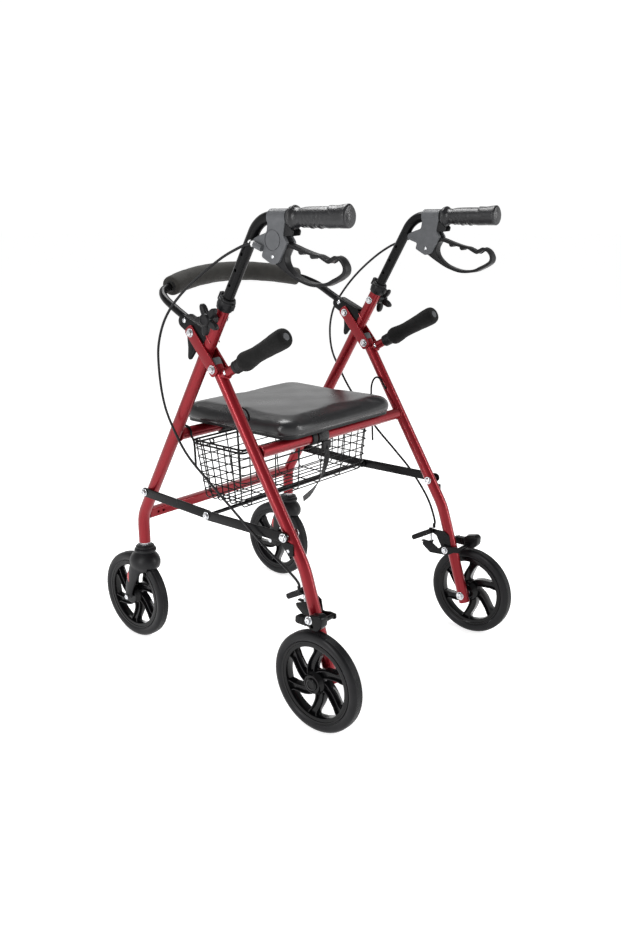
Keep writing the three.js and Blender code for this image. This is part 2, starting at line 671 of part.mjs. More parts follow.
// The wheel's centre: a rim ring, a hub with a bore, and six curved spokes.
function wheelCentre(x, y, hubIn, hubOut, bore, blind) {
  const w = TYRE_HALF_W - 1.5;
  const outer = 82 - GAP;
  const rim = turned(
    [[71, -w], [outer, -w], [outer, w], [71, w], [71, -w]], v(x, y, 100), v(1, 0, 0), 30,
  );
  const hub = turned(
    [[0, -hubIn], [22, -hubIn], [24, -8], [24, 8], [20, hubOut], [0, hubOut]],
    v(x, y, 100), v(1, 0, 0), 14,
  );
  const spokes = [];
  for (let i = 0; i < 6; i += 1) {
    const points = [];
    for (let k = 0; k <= 3; k += 1) {
      const r = 18 + (57 * k) / 3;
      const a = (i / 6) * 2 * Math.PI + 0.62 * Math.sin((k / 3) * Math.PI * 0.5);
      points.push(v(x, y + r * Math.cos(a), 100 + r * Math.sin(a)));
    }
    const section = new THREE.Shape([
      new THREE.Vector2(-7, -8), new THREE.Vector2(7, -8),
      new THREE.Vector2(7, 8), new THREE.Vector2(-7, 8),
    ]);
    spokes.push(sweep(section, points));
  }
  const length = blind ? hubIn + blind : hubIn + hubOut + 2;
  const hole = rod(v(x - hubIn - 1, y, 100), v(x - hubIn - 1 + length + 1, y, 100), bore, 14);
  return cut(join(rim, hub, ...spokes), hole);
}

function wheels() {
  addPair('tyre_rear', tyre(REAR_WHEEL_X, REAR_AXLE.y), 'rubber');
  addPair('wheel_rear', wheelCentre(REAR_WHEEL_X, REAR_AXLE.y, 20, 20, 8.8, 16), 'blackPlastic');
  addPair('caster_fork', casterFork(), 'blackPlastic');
  addPair('tyre_front', tyre(SIDE_X, WHEEL_FRONT_Y), 'rubber');
  addPair('wheel_front', wheelCentre(SIDE_X, WHEEL_FRONT_Y, 18, 18, 5.2, 0), 'blackPlastic');
}

// ---- brake cables -------------------------------------------------------------------
function cables() {
  const left = [
    [-256, -113.8, 892.8], [-259, -84, 883], [-261, -30, 858], [-268, 54, 802], [-272, 105, 751],
    [-272, 132, 696], [-270, 138, 642], [-270, 129, 581], [-270, 108, 534], [-272, 62, 478],
    [-273, -6, 430], [-273, -98, 368], [-266, -150, 326], [-248, -182, 290],
    [-236, -202, 262], [-235, -205, 245.5],
  ];
  const right = [
    [256, -113.8, 892.8], [259, -84, 885], [262, -45, 872], [268, 4, 846], [272, 58, 806],
    [272, 100, 762], [272, 128, 720], [270, 137, 672], [270, 130, 620], [270, 104, 574],
    [270, 66, 522], [272, -2, 450], [273, -61, 400], [273, -112, 356], [254, -171, 307],
    [238, -203, 265], [235, -205, 245.5],
  ];
  const lay = (name, list) => {
    const curve = new THREE.CatmullRomCurve3(list.map((p) => v(...p)), false, 'centripetal');
    const points = curve.getPoints(2 * (list.length - 1));
    const middle = 2 * 7;
    const upper = points.slice(0, middle + 1);
    const lower = points.slice(middle);
    const step = lower[1].clone().sub(lower[0]).normalize();
    lower[0] = lower[0].clone().addScaledVector(step, GAP);
    add(`cable_upper_${name}`, tube(upper, 2.5, 8), 'blackPlastic');
    add(`cable_lower_${name}`, tube(lower, 2.5, 8), 'blackPlastic');
  };
  lay('l', left);
  lay('r', right);
}

frontFrame();
rearFrame();
braces();
seat();
basket();
backrest();
handles();
wheels();
cables();

export default root;
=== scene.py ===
# Rollator walker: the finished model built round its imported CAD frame.
# Working coordinates are millimetres in the CAD source's own frame; make() turns them into metres.
import json
import math

import bmesh
import bpy
import numpy as np
from mathutils import Matrix, Vector


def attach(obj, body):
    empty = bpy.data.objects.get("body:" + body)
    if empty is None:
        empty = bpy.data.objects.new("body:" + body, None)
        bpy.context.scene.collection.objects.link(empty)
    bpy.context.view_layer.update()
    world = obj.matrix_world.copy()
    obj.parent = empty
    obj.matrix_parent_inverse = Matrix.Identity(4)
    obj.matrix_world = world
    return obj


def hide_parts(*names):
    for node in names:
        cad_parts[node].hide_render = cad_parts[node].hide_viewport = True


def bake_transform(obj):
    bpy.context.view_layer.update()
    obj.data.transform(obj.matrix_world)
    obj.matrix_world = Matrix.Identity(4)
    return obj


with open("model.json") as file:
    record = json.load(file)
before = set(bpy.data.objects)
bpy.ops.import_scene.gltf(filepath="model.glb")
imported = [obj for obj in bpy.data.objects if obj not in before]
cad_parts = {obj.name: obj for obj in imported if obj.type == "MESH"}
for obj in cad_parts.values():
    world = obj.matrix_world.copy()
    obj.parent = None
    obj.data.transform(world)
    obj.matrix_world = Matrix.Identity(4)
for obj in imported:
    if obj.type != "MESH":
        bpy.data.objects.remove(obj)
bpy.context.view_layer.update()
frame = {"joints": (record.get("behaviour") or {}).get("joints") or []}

JOINT = {j["name"]: j for j in frame["joints"]}
SHIFT = Vector((0.0, -2.5, 0.0))  # from the CAD source's frame to the row frame
MM = 0.001


def pivot(name):
    """A joint's point, in working millimetres."""
    return Vector(JOINT[name]["pos_m"]) / MM - SHIFT


def link(name, data):
    """A new object in the scene."""
    thing = bpy.data.objects.new(name, data)
    bpy.context.scene.collection.objects.link(thing)
    return thing


# ---- camera ---------------------------------------------------------------------------
def set_camera():
    """The photograph's view, in metres and degrees."""
    data = bpy.data.cameras.new("view")
    camera = link("view", data)
    camera.location = (-1.4163, -1.2491, 0.942)
    camera.rotation_euler = (math.radians(90 - 15.83), math.radians(0.09), math.radians(-49.395))
    data.lens = 34.34
    data.sensor_width = 36.0
    data.clip_end = 60.0
    bpy.context.scene.camera = camera


set_camera()

# ---- dimensions, millimetres ------------------------------------------------------------
SIDE_X = pivot("star_knob_turn_r").x
STEM = pivot("caster_swivel_r")
FRONT_AXLE = pivot("front_wheel_roll_r")
REAR_AXLE = pivot("rear_wheel_roll_r")
FOLD = pivot("frame_fold")
BACK_HINGE = pivot("backrest_fold")
LEVER_PIVOT = pivot("brake_squeeze_r")
ARM_PIVOT = pivot("brake_arm_turn_r")
BRACE_FRONT = pivot("brace_front_turn")
BRACE_REAR = pivot("brace_rear_turn")
KNOB = pivot("star_knob_turn_r")
FRONT_TUBE = pivot("seat_lift")
REAR_TUBE = Vector((0, -97.7, 500))
BRACE_MID = Vector((0, 22, 354))
BACK_BOLT = Vector((0, 56, 720))
LEG_BEND = (-222, 300)          # y and z where the rear leg's two runs would meet
LEAN = 0.5843                   # the upright's rearward run for each millimetre of height
UPRIGHT_Y, UPRIGHT_Z = 233, 331  # a point on the upright's centre line
UP = Vector((0, -LEAN, 1)).normalized()
X_AXIS = Vector((1, 0, 0))
Z_AXIS = Vector((0, 0, 1))
UPRIGHT_R = 13.0
UPRIGHT_TOP = 775
FRONT_TUBE_R = 12.4
LEG_R = 12.2
HANDLE_R = 10.9
GRIP_Z = 936.0
LOW_BAR_Z = 300
WHEEL_R = 100.0
GAP = 0.4                       # clearance between pieces that meet


def upright_y(z):
    """The upright's centre line at height z."""
    return UPRIGHT_Y - (z - UPRIGHT_Z) * LEAN


# ---- materials --------------------------------------------------------------------------
def node_set(name):
    """A new material, its node tree and its shader."""
    material = bpy.data.materials.new(name)
    material.use_nodes = True
    tree = material.node_tree
    return material, tree, tree.nodes["Principled BSDF"]


def value_noise(tree, scale, detail, stretch=(1, 1, 1), kind="noise"):
    """A noise or cell pattern in the object's own coordinates."""
    place = tree.nodes.new("ShaderNodeTexCoord")
    mapping = tree.nodes.new("ShaderNodeMapping")
    mapping.inputs["Scale"].default_value = stretch
    tree.links.new(place.outputs["Object"], mapping.inputs["Vector"])
    if kind == "voronoi":
        texture = tree.nodes.new("ShaderNodeTexVoronoi")
        out = texture.outputs["Distance"]
    else:
        texture = tree.nodes.new("ShaderNodeTexNoise")
        texture.inputs["Detail"].default_value = detail
        out = texture.outputs["Fac"]
    texture.inputs["Scale"].default_value = scale
    tree.links.new(mapping.outputs["Vector"], texture.inputs["Vector"])
    return out


def ramp(tree, source, low, high, start, end):
    """A colour or grey that runs from start to end as source goes from low to high."""
    node = tree.nodes.new("ShaderNodeValToRGB")
    node.color_ramp.elements[0].position = low
    node.color_ramp.elements[1].position = high
    for element, value in zip(node.color_ramp.elements, (start, end)):
        rgb = (value,) * 3 if isinstance(value, float) else value
        element.color = (*rgb, 1)
    tree.links.new(source, node.inputs["Fac"])
    return node.outputs["Color"]


def add_bump(tree, shader, heights):
    """Bump layers as [(height output, strength, distance in metres)]."""
    normal = None
    for height, strength, distance in heights:
        bump = tree.nodes.new("ShaderNodeBump")
        bump.inputs["Strength"].default_value = strength
        bump.inputs["Distance"].default_value = distance
        tree.links.new(height, bump.inputs["Height"])
        if normal is not None:
            tree.links.new(normal, bump.inputs["Normal"])
        normal = bump.outputs["Normal"]
    tree.links.new(normal, shader.inputs["Normal"])


def finish_material(name, colour, dark, rough, metallic=0.0, grain=(), spread=0.25, noise=40,
                    coat=0.0, coat_rough=0.1, sheen=0.0, specular=0.5, stretch=(1, 1, 1)):
    """Mottled colour, varied roughness and bumps given as [(kind, scale, strength, distance)]."""
    material, tree, shader = node_set(name)
    cloud = value_noise(tree, noise, 5)
    tree.links.new(ramp(tree, cloud, 0.3, 0.7, dark, colour), shader.inputs["Base Color"])
    smudge = value_noise(tree, noise * 0.45, 6, (1, 1, 0.6))
    rough_out = ramp(tree, smudge, 0.3, 0.75, rough * (1 - spread), min(rough * (1 + spread), 1.0))
    tree.links.new(rough_out, shader.inputs["Roughness"])
    shader.inputs["Metallic"].default_value = metallic
    shader.inputs["Coat Weight"].default_value = coat
    shader.inputs["Coat Roughness"].default_value = coat_rough
    shader.inputs["Sheen Weight"].default_value = sheen
    shader.inputs["Sheen Roughness"].default_value = 0.5
    shader.inputs["Specular IOR Level"].default_value = specular
    add_bump(tree, shader, [(value_noise(tree, scale, 4, stretch, kind), strength, distance)
                            for kind, scale, strength, distance in grain])
    return material


def woven_material():
    """Webbing: two crossed sets of fine threads."""
    material, tree, shader = node_set("webbing")
    place = tree.nodes.new("ShaderNodeTexCoord")
    heights = []
    for direction in ("X", "Z"):
        wave = tree.nodes.new("ShaderNodeTexWave")
        wave.bands_direction = direction
        wave.inputs["Scale"].default_value = 260
        wave.inputs["Distortion"].default_value = 0.4
        tree.links.new(place.outputs["Object"], wave.inputs["Vector"])
        heights.append((wave.outputs["Fac"], 0.6, 0.0006))
    tone = ramp(tree, heights[0][0], 0.2, 0.8, (0.004, 0.004, 0.005), (0.014, 0.014, 0.015))
    tree.links.new(tone, shader.inputs["Base Color"])
    shader.inputs["Roughness"].default_value = 0.85
    shader.inputs["Sheen Weight"].default_value = 0.3
    add_bump(tree, shader, heights)
    return material


RED = finish_material(
    "red_paint", (0.235, 0.005, 0.012), (0.195, 0.004, 0.009), 0.34, metallic=0.6,
    grain=[("noise", 1500, 0.04, 0.0001), ("noise", 220, 0.03, 0.0002)],
    coat=0.3, coat_rough=0.12, noise=900, spread=0.12, specular=0.3)
BLACK = finish_material(
    "black_paint", (0.0045, 0.0045, 0.005), (0.0025, 0.0025, 0.003), 0.3,
    grain=[("noise", 1300, 0.1, 0.00012), ("noise", 260, 0.05, 0.0003)],
    coat=0.05, coat_rough=0.08, noise=90, specular=0.12)
PLASTIC = finish_material(
    "black_plastic", (0.011, 0.011, 0.012), (0.006, 0.006, 0.007), 0.42,
    grain=[("voronoi", 1500, 0.15, 0.00015), ("noise", 350, 0.08, 0.0003)],
    noise=70, specular=0.2)
GLOSSY = finish_material(
    "wheel_plastic", (0.004, 0.004, 0.0045), (0.0025, 0.0025, 0.003), 0.2,
    grain=[("noise", 420, 0.05, 0.0003)], coat=0.1, coat_rough=0.05, noise=60,
    specular=0.15)
GREY = finish_material(
    "grey_plastic", (0.09, 0.093, 0.1), (0.072, 0.075, 0.08), 0.5,
    grain=[("voronoi", 1700, 0.22, 0.00015), ("noise", 300, 0.06, 0.0003)],
    noise=80, specular=0.35)
RUBBER = finish_material(
    "grip_rubber", (0.013, 0.013, 0.015), (0.006, 0.006, 0.007), 0.34,
    grain=[("voronoi", 750, 0.4, 0.0004), ("noise", 240, 0.2, 0.0006)],
    noise=120, specular=0.45)
FOAM = finish_material(
    "foam", (0.03, 0.029, 0.026), (0.02, 0.019, 0.017), 0.85,
    grain=[("voronoi", 1100, 0.45, 0.0004), ("noise", 160, 0.25, 0.0012)],
    sheen=0.08, noise=45, spread=0.08, specular=0.25)
BLACK_FOAM = finish_material(
    "black_foam", (0.006, 0.006, 0.006), (0.003, 0.003, 0.003), 0.9,
    grain=[("voronoi", 1200, 0.5, 0.0004), ("noise", 160, 0.25, 0.001)],
    sheen=0.05, noise=45, spread=0.08, specular=0.2)
VINYL = finish_material(
    "vinyl", (0.012, 0.012, 0.013), (0.008, 0.008, 0.009), 0.3,
    grain=[("voronoi", 420, 0.3, 0.0003), ("noise", 70, 0.15, 0.001)],
    noise=26, spread=0.15, specular=0.5)
STEEL = finish_material(
    "zinc", (0.75, 0.76, 0.78), (0.5, 0.51, 0.53), 0.22, metallic=1.0,
    grain=[("noise", 900, 0.12, 0.0002)], noise=200, stretch=(1, 1, 6))
WHITE = finish_material(
    "white_nylon", (0.8, 0.8, 0.8), (0.68, 0.68, 0.68), 0.45,
    grain=[("noise", 500, 0.1, 0.0002)], noise=90)
INSERT = finish_material(
    "red_insert", (0.4, 0.008, 0.012), (0.3, 0.005, 0.009), 0.25,
    grain=[("noise", 500, 0.06, 0.0002)], coat=0.5, noise=120)
TYRE = finish_material(
    "tyre_rubber", (0.009, 0.009, 0.01), (0.005, 0.005, 0.006), 0.33,
    grain=[("noise", 900, 0.2, 0.0002), ("noise", 60, 0.06, 0.0006)],
    specular=0.18)
WEBBING = woven_material()


# ---- mesh helpers -----------------------------------------------------------------------
class Shape:
    """Vertices in working millimetres, faces, and a material number for each face."""

    def __init__(self):
        self.verts = []
        self.faces = []
        self.looks = []

    def add(self, verts, faces, look=0):
        base = len(self.verts)
        self.verts += [Vector(p) for p in verts]
        self.faces += [tuple(i + base for i in face) for face in faces]
        self.looks += [look] * len(faces)
        return self

    def put(self, other, look=None, move=None):
        """Adds another shape, moved by a matrix and given one look where asked."""
        base = len(self.verts)
        self.verts += [move @ p if move else Vector(p) for p in other.verts]
        self.faces += [tuple(i + base for i in face) for face in other.faces]
        self.looks += other.looks if look is None else [look] * len(other.faces)
        return self

    def mirrored(self):
        copy = Shape()
        copy.verts = [Vector((-p.x, p.y, p.z)) for p in self.verts]
        copy.faces = [tuple(reversed(face)) for face in self.faces]
        copy.looks = list(self.looks)
        return copy


def row_point(point):
    """A working point in the row frame, in metres."""
    return tuple((Vector(point) + SHIFT) * MM)


def make(name, shape, looks, body, stands_for=(), angle=35):
    """Links a shape as a piece that rides on a body and hides the CAD parts it stands for."""
    mesh = bpy.data.meshes.new(name)
    mesh.from_pydata([row_point(p) for p in shape.verts], [], shape.faces)
    mesh.polygons.foreach_set("material_index", shape.looks)
    mesh.update()
    for look in looks if isinstance(looks, list) else [looks]:
        mesh.materials.append(look)
    mesh.shade_smooth()
    mesh.set_sharp_from_angle(angle=math.radians(angle))
    piece = link(name, mesh)
    if body:
        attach(piece, body)
    if stands_for:
        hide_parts(*stands_for)
    return piece


def make_pair(name, shape, looks, body, stands_for=(), angle=35):
    """The +X piece and its mirror image; {s} in body and node names becomes r or l."""
    pieces = []
    for s, form in (("r", shape), ("l", shape.mirrored())):
        nodes = [n.replace("{s}", s) for n in stands_for]
        pieces.append(make(f"{name}_{s}", form, looks, body.replace("{s}", s), nodes, angle))
    return pieces


def smooth_path(points, steps):
    """A Catmull-Rom curve through the points, with steps per span."""
    p = [Vector(q) for q in points]
    p = [2 * p[0] - p[1]] + p + [2 * p[-1] - p[-2]]
    out = []
    for i in range(1, len(p) - 2):
        for k in range(steps):
            t = k / steps
            a = 2 * p[i]
            b = (p[i + 1] - p[i - 1]) * t
            c = (2 * p[i - 1] - 5 * p[i] + 4 * p[i + 1] - p[i + 2]) * t * t
            d = (3 * p[i] - p[i - 1] - 3 * p[i + 1] + p[i + 2]) * t ** 3
            out.append((a + b + c + d) / 2)
    out.append(p[-2])
    return out


def smooth_loop(points, steps):
    """A closed Catmull-Rom outline through 2-D points."""
    n = len(points)
    ring = [Vector((*q, 0)) for q in points]
    out = []
    for i in range(n):
        p0, p1, p2, p3 = (ring[(i + k) % n] for k in (-1, 0, 1, 2))
        for k in range(steps):
            t = k / steps
            q = (2 * p1 + (p2 - p0) * t + (2 * p0 - 5 * p1 + 4 * p2 - p3) * t * t
                 + (3 * p1 - p0 - 3 * p2 + p3) * t ** 3) / 2
            out.append((q.x, q.y))
    return out


def bent(corners, radius, steps=10):
    """Straight runs joined by arcs."""
    corners = [Vector(c) for c in corners]
    points = [corners[0]]
    for i in range(1, len(corners) - 1):
        back = (corners[i - 1] - corners[i]).normalized()
        on = (corners[i + 1] - corners[i]).normalized()
        half = back.angle(on) / 2
        centre = corners[i] + (back + on).normalized() * radius / math.sin(half)
        reach = radius / math.tan(half)
        start = corners[i] + back * reach - centre
        end = corners[i] + on * reach - centre
        sweep = start.angle(end)
        for k in range(steps + 1):
            t = k / steps
            a = math.sin((1 - t) * sweep) / math.sin(sweep)
            b = math.sin(t * sweep) / math.sin(sweep)
            points.append(centre + start * a + end * b)
    points.append(corners[-1])
    return points


def frames(points, closed=False):
    """Tangents and a twist-free side vector at each point."""
    n = len(points)
    tangents = []
    for i in range(n):
        a = points[(i - 1) % n] if closed else points[max(i - 1, 0)]
        b = points[(i + 1) % n] if closed else points[min(i + 1, n - 1)]
        tangents.append((b - a).normalized())
    side = tangents[0].orthogonal().normalized()
    if abs(tangents[0].x) < 0.9:
        side = (Vector((1, 0, 0)) - tangents[0] * tangents[0].x).normalized()
    out = []
    for tangent in tangents:
        side = (side - tangent * side.dot(tangent)).normalized()
        out.append((tangent, side, tangent.cross(side)))
    return out


def circle(centre, a, b, radius, sides):
    """Points round a circle in the plane of the unit vectors a and b."""
    turns = [2 * math.pi * k / sides for k in range(sides)]
    return [centre + (a * math.cos(turn) + b * math.sin(turn)) * radius for turn in turns]


def skin(low, high):
    """Faces between two rings of vertex numbers; a ring of one number is a tip."""
    n = max(len(low), len(high))
    faces = []
    for k in range(n):
        m = (k + 1) % n
        if len(low) == 1:
            faces.append((low[0], high[m], high[k]))
        elif len(high) == 1:
            faces.append((low[k], low[m], high[0]))
        else:
            faces.append((low[k], low[m], high[m], high[k]))
    return faces


def loft(rings, closed=False, caps=True):
    """A skin over rings of points that have the same count, with flat ends unless closed."""
    n = len(rings[0])
    rows = [range(i * n, (i + 1) * n) for i in range(len(rings))]
    faces = []
    for low, high in zip(rows, rows[1:] + rows[:1] if closed else rows[1:]):
        faces += skin(low, high)
    if caps and not closed:
        faces += [tuple(reversed(rows[0])), tuple(rows[-1])]
    return Shape().add([p for row in rings for p in row], faces)


def tube(points, radius, sides=20, bore=0.0, closed=False, round_end=0.0):
    """A round rod or pipe along points; radius is a number or one for each point."""
    points = [Vector(p) for p in points]
    radii = list(radius) if hasattr(radius, "__len__") else [radius] * len(points)
    if round_end:
        points, radii = round_ends(points, radii, round_end)
    axes = frames(points, closed)
    rings = [circle(point, a, b, r, sides) for point, r, (_, a, b) in zip(points, radii, axes)]
    shape = loft(rings, closed, caps=not bore)
    if bore:
        add_bore(shape, points, axes, bore, sides)
    return shape


def rod(at, x0, x1, radius, sides=16):
    """A round bar along X through at, from x0 to x1."""
    return tube([(x0, at.y, at.z), (x1, at.y, at.z)], radius, sides)


def round_ends(points, radii, size):
    """Replaces each end with shrinking rings, so the end is not a sharp cut."""
    steps = 3
    first = (points[1] - points[0]).normalized()
    last = (points[-2] - points[-1]).normalized()
    turns = [k / steps * math.pi / 2 for k in range(steps + 1)]
    head = [points[0] + first * size * (1 - math.cos(t)) for t in turns]
    tail = [points[-1] + last * size * (1 - math.cos(t)) for t in reversed(turns)]
    head_r = [radii[0] - size * (1 - math.sin(t)) for t in turns]
    tail_r = [radii[-1] - size * (1 - math.sin(t)) for t in reversed(turns)]
    return head + points[1:-1] + tail, head_r + radii[1:-1] + tail_r


def add_bore(shape, points, axes, bore, sides):
    """Opens both ends of a pipe: a flat rim, a short inner wall and a floor."""
    depth = 12
    last = len(points) - 1
    for end, outward in ((0, -1), (last, 1)):
        tangent, a, b = axes[end]
        base = len(shape.verts)
        verts = [p for back in (0, depth)
                 for p in circle(points[end] - tangent * outward * back, a, b, bore, sides)]
        edge, mouth, floor = (range(first, first + sides) for first in (end * sides, base, base + sides))
        faces = skin(edge, mouth) + skin(mouth, floor) + [tuple(floor)]
        shape.verts += verts
        shape.faces += faces if outward > 0 else [face[::-1] for face in faces]
        shape.looks += [0] * len(faces)


def turned(profile, start, axis, sides=32, look=0):
    """A piece turned about an axis: profile of (radius, distance along it)."""
    axis = Vector(axis).normalized()
    a = X_AXIS if abs(axis.x) < 0.9 else Vector((0, 1, 0))
    a = (a - axis * a.dot(axis)).normalized()
    b = axis.cross(a)
    verts, rings = [], []
    for r, s in profile:
        centre = Vector(start) + axis * s
        ring_points = [centre] if r < 1e-6 else circle(centre, a, b, r, sides)
        rings.append(range(len(verts), len(verts) + len(ring_points)))
        verts += ring_points
    faces = []
    for low, high in zip(rings, rings[1:]):
        if len(low) > 1 or len(high) > 1:
            faces += skin(low, high)
    return Shape().add(verts, faces, look)


def evaluated(holder):
    """The mesh that an object's modifiers or curve settings give; the object is removed."""
    graph = bpy.context.evaluated_depsgraph_get()
    mesh = bpy.data.meshes.new_from_object(holder.evaluated_get(graph))
    bpy.data.objects.remove(holder)
    return mesh


def plate(outline, x0, x1, bevel=0.8, holes=(), steps=2):
    """A flat piece: (y, z) outline, thickness from x0 to x1, rounded edges, round or cut holes."""
    curve = bpy.data.curves.new("plate", "CURVE")
    curve.dimensions = "2D"
    curve.fill_mode = "BOTH"
    curve.extrude = (x1 - x0) / 2 - bevel
    curve.bevel_depth = bevel
    curve.bevel_resolution = steps
    curve.offset = -bevel
    for loop in (outline, *holes):
        spline = curve.splines.new("POLY")
        spline.points.add(len(loop) - 1)
        spline.use_cyclic_u = True
        for point, (y, z) in zip(spline.points, loop):
            point.co = (y, z, 0, 1)
    mesh = evaluated(link("plate", curve))
    bpy.data.curves.remove(curve)
    work = bmesh.new()
    work.from_mesh(mesh)
    bmesh.ops.remove_doubles(work, verts=work.verts, dist=1e-4)
    bmesh.ops.recalc_face_normals(work, faces=work.faces)
    middle = (x0 + x1) / 2
    verts = []
    for vert in work.verts:
        vert.index = len(verts)
        verts.append(Vector((middle + vert.co.z, vert.co.x, vert.co.y)))
    shape = Shape().add(verts, [[v.index for v in face.verts] for face in work.faces])
    work.free()
    bpy.data.meshes.remove(mesh)
    return shape


def cheeks(outline, near, far, bevel):
    """The same plate on both faces of a side, from near to far out from the side's middle."""
    outer = plate(outline, SIDE_X + near, SIDE_X + far, bevel)
    return outer.put(plate(outline, SIDE_X - far, SIDE_X - near, bevel))


def ring(at, radius, sides):
    """A circle as a 2-D outline."""
    return [(at[0] + radius * math.cos(2 * math.pi * k / sides),
             at[1] + radius * math.sin(2 * math.pi * k / sides)) for k in range(sides)]


def capsule(a, b, radius, steps=10):
    """Outline of a bar with round ends, from a to b in (y, z)."""
    heading = math.atan2(b[1] - a[1], b[0] - a[0])
    out = []
    for end, start in ((b, -math.pi / 2), (a, math.pi / 2)):
        for k in range(steps + 1):
            turn = heading + start + k / steps * math.pi
            out.append((end[0] + radius * math.cos(turn), end[1] + radius * math.sin(turn)))
    return out


def yz(point):
    """A point as the (y, z) pair that plates and bolts take."""
    return (point.y, point.z)


def box(x0, x1, y0, y1, z0, z1, bevel=1.0, segments=2):
    """A box with rounded edges."""
    work = bmesh.new()
    bmesh.ops.create_cube(work, size=1)
    for vert in work.verts:
        vert.co = ((x0 + x1) / 2 + vert.co.x * (x1 - x0), (y0 + y1) / 2 + vert.co.y * (y1 - y0),
                   (z0 + z1) / 2 + vert.co.z * (z1 - z0))
    if bevel:
        bmesh.ops.bevel(work, geom=work.edges[:], offset=bevel, segments=segments, profile=0.5,
                        affect="EDGES")
    work.verts.index_update()
    shape = Shape().add([v.co for v in work.verts], [[v.index for v in f.verts] for f in work.faces])
    work.free()
    return shape


def from_mesh(mesh):
    """A shape from a Blender mesh that is in working millimetres."""
    shape = Shape().add([v.co for v in mesh.vertices], [p.vertices for p in mesh.polygons])
    shape.looks = [p.material_index for p in mesh.polygons]
    return shape


def plain_object(shape):
    """A work object in millimetres, which isn't a piece of the walker."""
    mesh = bpy.data.meshes.new("work")
    mesh.from_pydata([tuple(p) for p in shape.verts], [], shape.faces)
    mesh.update()
    return link("work", mesh)


def with_modifiers(shape, settings):
    """A shape after modifiers given as [(type, {setting: value})]."""
    holder = plain_object(shape)
    for kind, values in settings:
        modifier = holder.modifiers.new(kind, kind)
        for key, value in values.items():
            setattr(modifier, key, value)
    bpy.context.view_layer.update()
    mesh = evaluated(holder)
    out = from_mesh(mesh)
    bpy.data.meshes.remove(mesh)
    return out


def combine(shape, tools, operation="DIFFERENCE"):
    """Cuts the tools from a shape, or joins them to it."""
    cutters = [plain_object(tool) for tool in tools]
    settings = [("BOOLEAN", {"operation": operation, "object": cutter, "solver": "EXACT"})
                for cutter in cutters]
    out = with_modifiers(shape, settings)
    for cutter in cutters:
        bpy.data.objects.remove(cutter)
    return out


def moulded(shape, voxel, rounds):
    """One soft-edged moulding from overlapping solids."""
    return with_modifiers(shape, [
        ("REMESH", {"mode": "VOXEL", "voxel_size": voxel}),
        ("SMOOTH", {"factor": 0.5, "iterations": rounds}),
    ])


def hex_bolt(at, x, way, size=8.0, height=4.6, washer=True):
    """A domed hexagon head on a washer, facing along X."""
    shape = Shape()
    start = (x, *at)
    axis = (way, 0, 0)
    base = 0.0
    if washer:
        shape.put(turned([(0, 0), (size + 1.6, 0), (size + 2, 0.3), (size + 2, 0.9), (size + 1.6, 1.2),
                          (0, 1.2)], start, axis, 28))
        base = 1.2
    head = turned([(0, base), (size * 0.98, base), (size, base + 0.5), (size, base + height - 1.4),
                   (size * 0.9, base + height - 0.5), (size * 0.6, base + height),
                   (size * 0.3, base + height), (size * 0.26, base + height - 0.8),
                   (0, base + height - 0.8)], start, axis, 6)
    return shape.put(head)


def dome_bolt(at, x, way, size=5.0, height=2.6):
    """A domed rivet head with a small socket."""
    profile = [(0, 0)]
    socket = size * 0.34
    for k in range(7):
        turn = k / 6 * math.pi / 2
        profile.append((max(size * math.cos(turn), socket), height * math.sin(turn)))
    profile += [(socket, height), (size * 0.28, height - 1.0), (0, height - 1.0)]
    return turned(profile, (x, *at), (way, 0, 0), 24)


def bolt_pair(bolt, at, reach, *size):
    """A bolt head on both faces of a side, reach out from the side's middle."""
    shape = Shape()
    for way in (1, -1):
        shape.put(bolt(at, SIDE_X + way * reach, way, *size))
    return shape


# ---- front frame ------------------------------------------------------------------------
def weld_bead(centre, axis, radius, seed, thick=1.5):
    """The uneven ring of weld metal round the end of a tube."""
    rng = np.random.default_rng(seed)
    axis = Vector(axis).normalized()
    side = axis.orthogonal().normalized()
    other = axis.cross(side)
    steps = 40
    points = []
    radii = []
    for k in range(steps):
        turn = 2 * math.pi * k / steps
        out = radius + rng.uniform(-0.2, 0.25)
        points.append(Vector(centre) + (side * math.cos(turn) + other * math.sin(turn)) * out)
        radii.append(thick * (0.85 + 0.22 * (k % 2) + rng.uniform(0, 0.12)))
    return tube(points, radii, 8, closed=True)


def rounded(corners, radius, steps=4):
    """A 2-D outline with its corners rounded by quadratic curves."""
    out = []
    n = len(corners)
    for i in range(n):
        before, here, after = (Vector(corners[(i + k) % n]) for k in (-1, 0, 1))
        back, ahead = before - here, after - here
        start = here + back.normalized() * min(radius, back.length * 0.45)
        end = here + ahead.normalized() * min(radius, ahead.length * 0.45)
        for k in range(steps + 1):
            t = k / steps
            q = start * (1 - t) ** 2 + here * 2 * t * (1 - t) + end * t ** 2
            out.append((q.x, q.y))
    return out


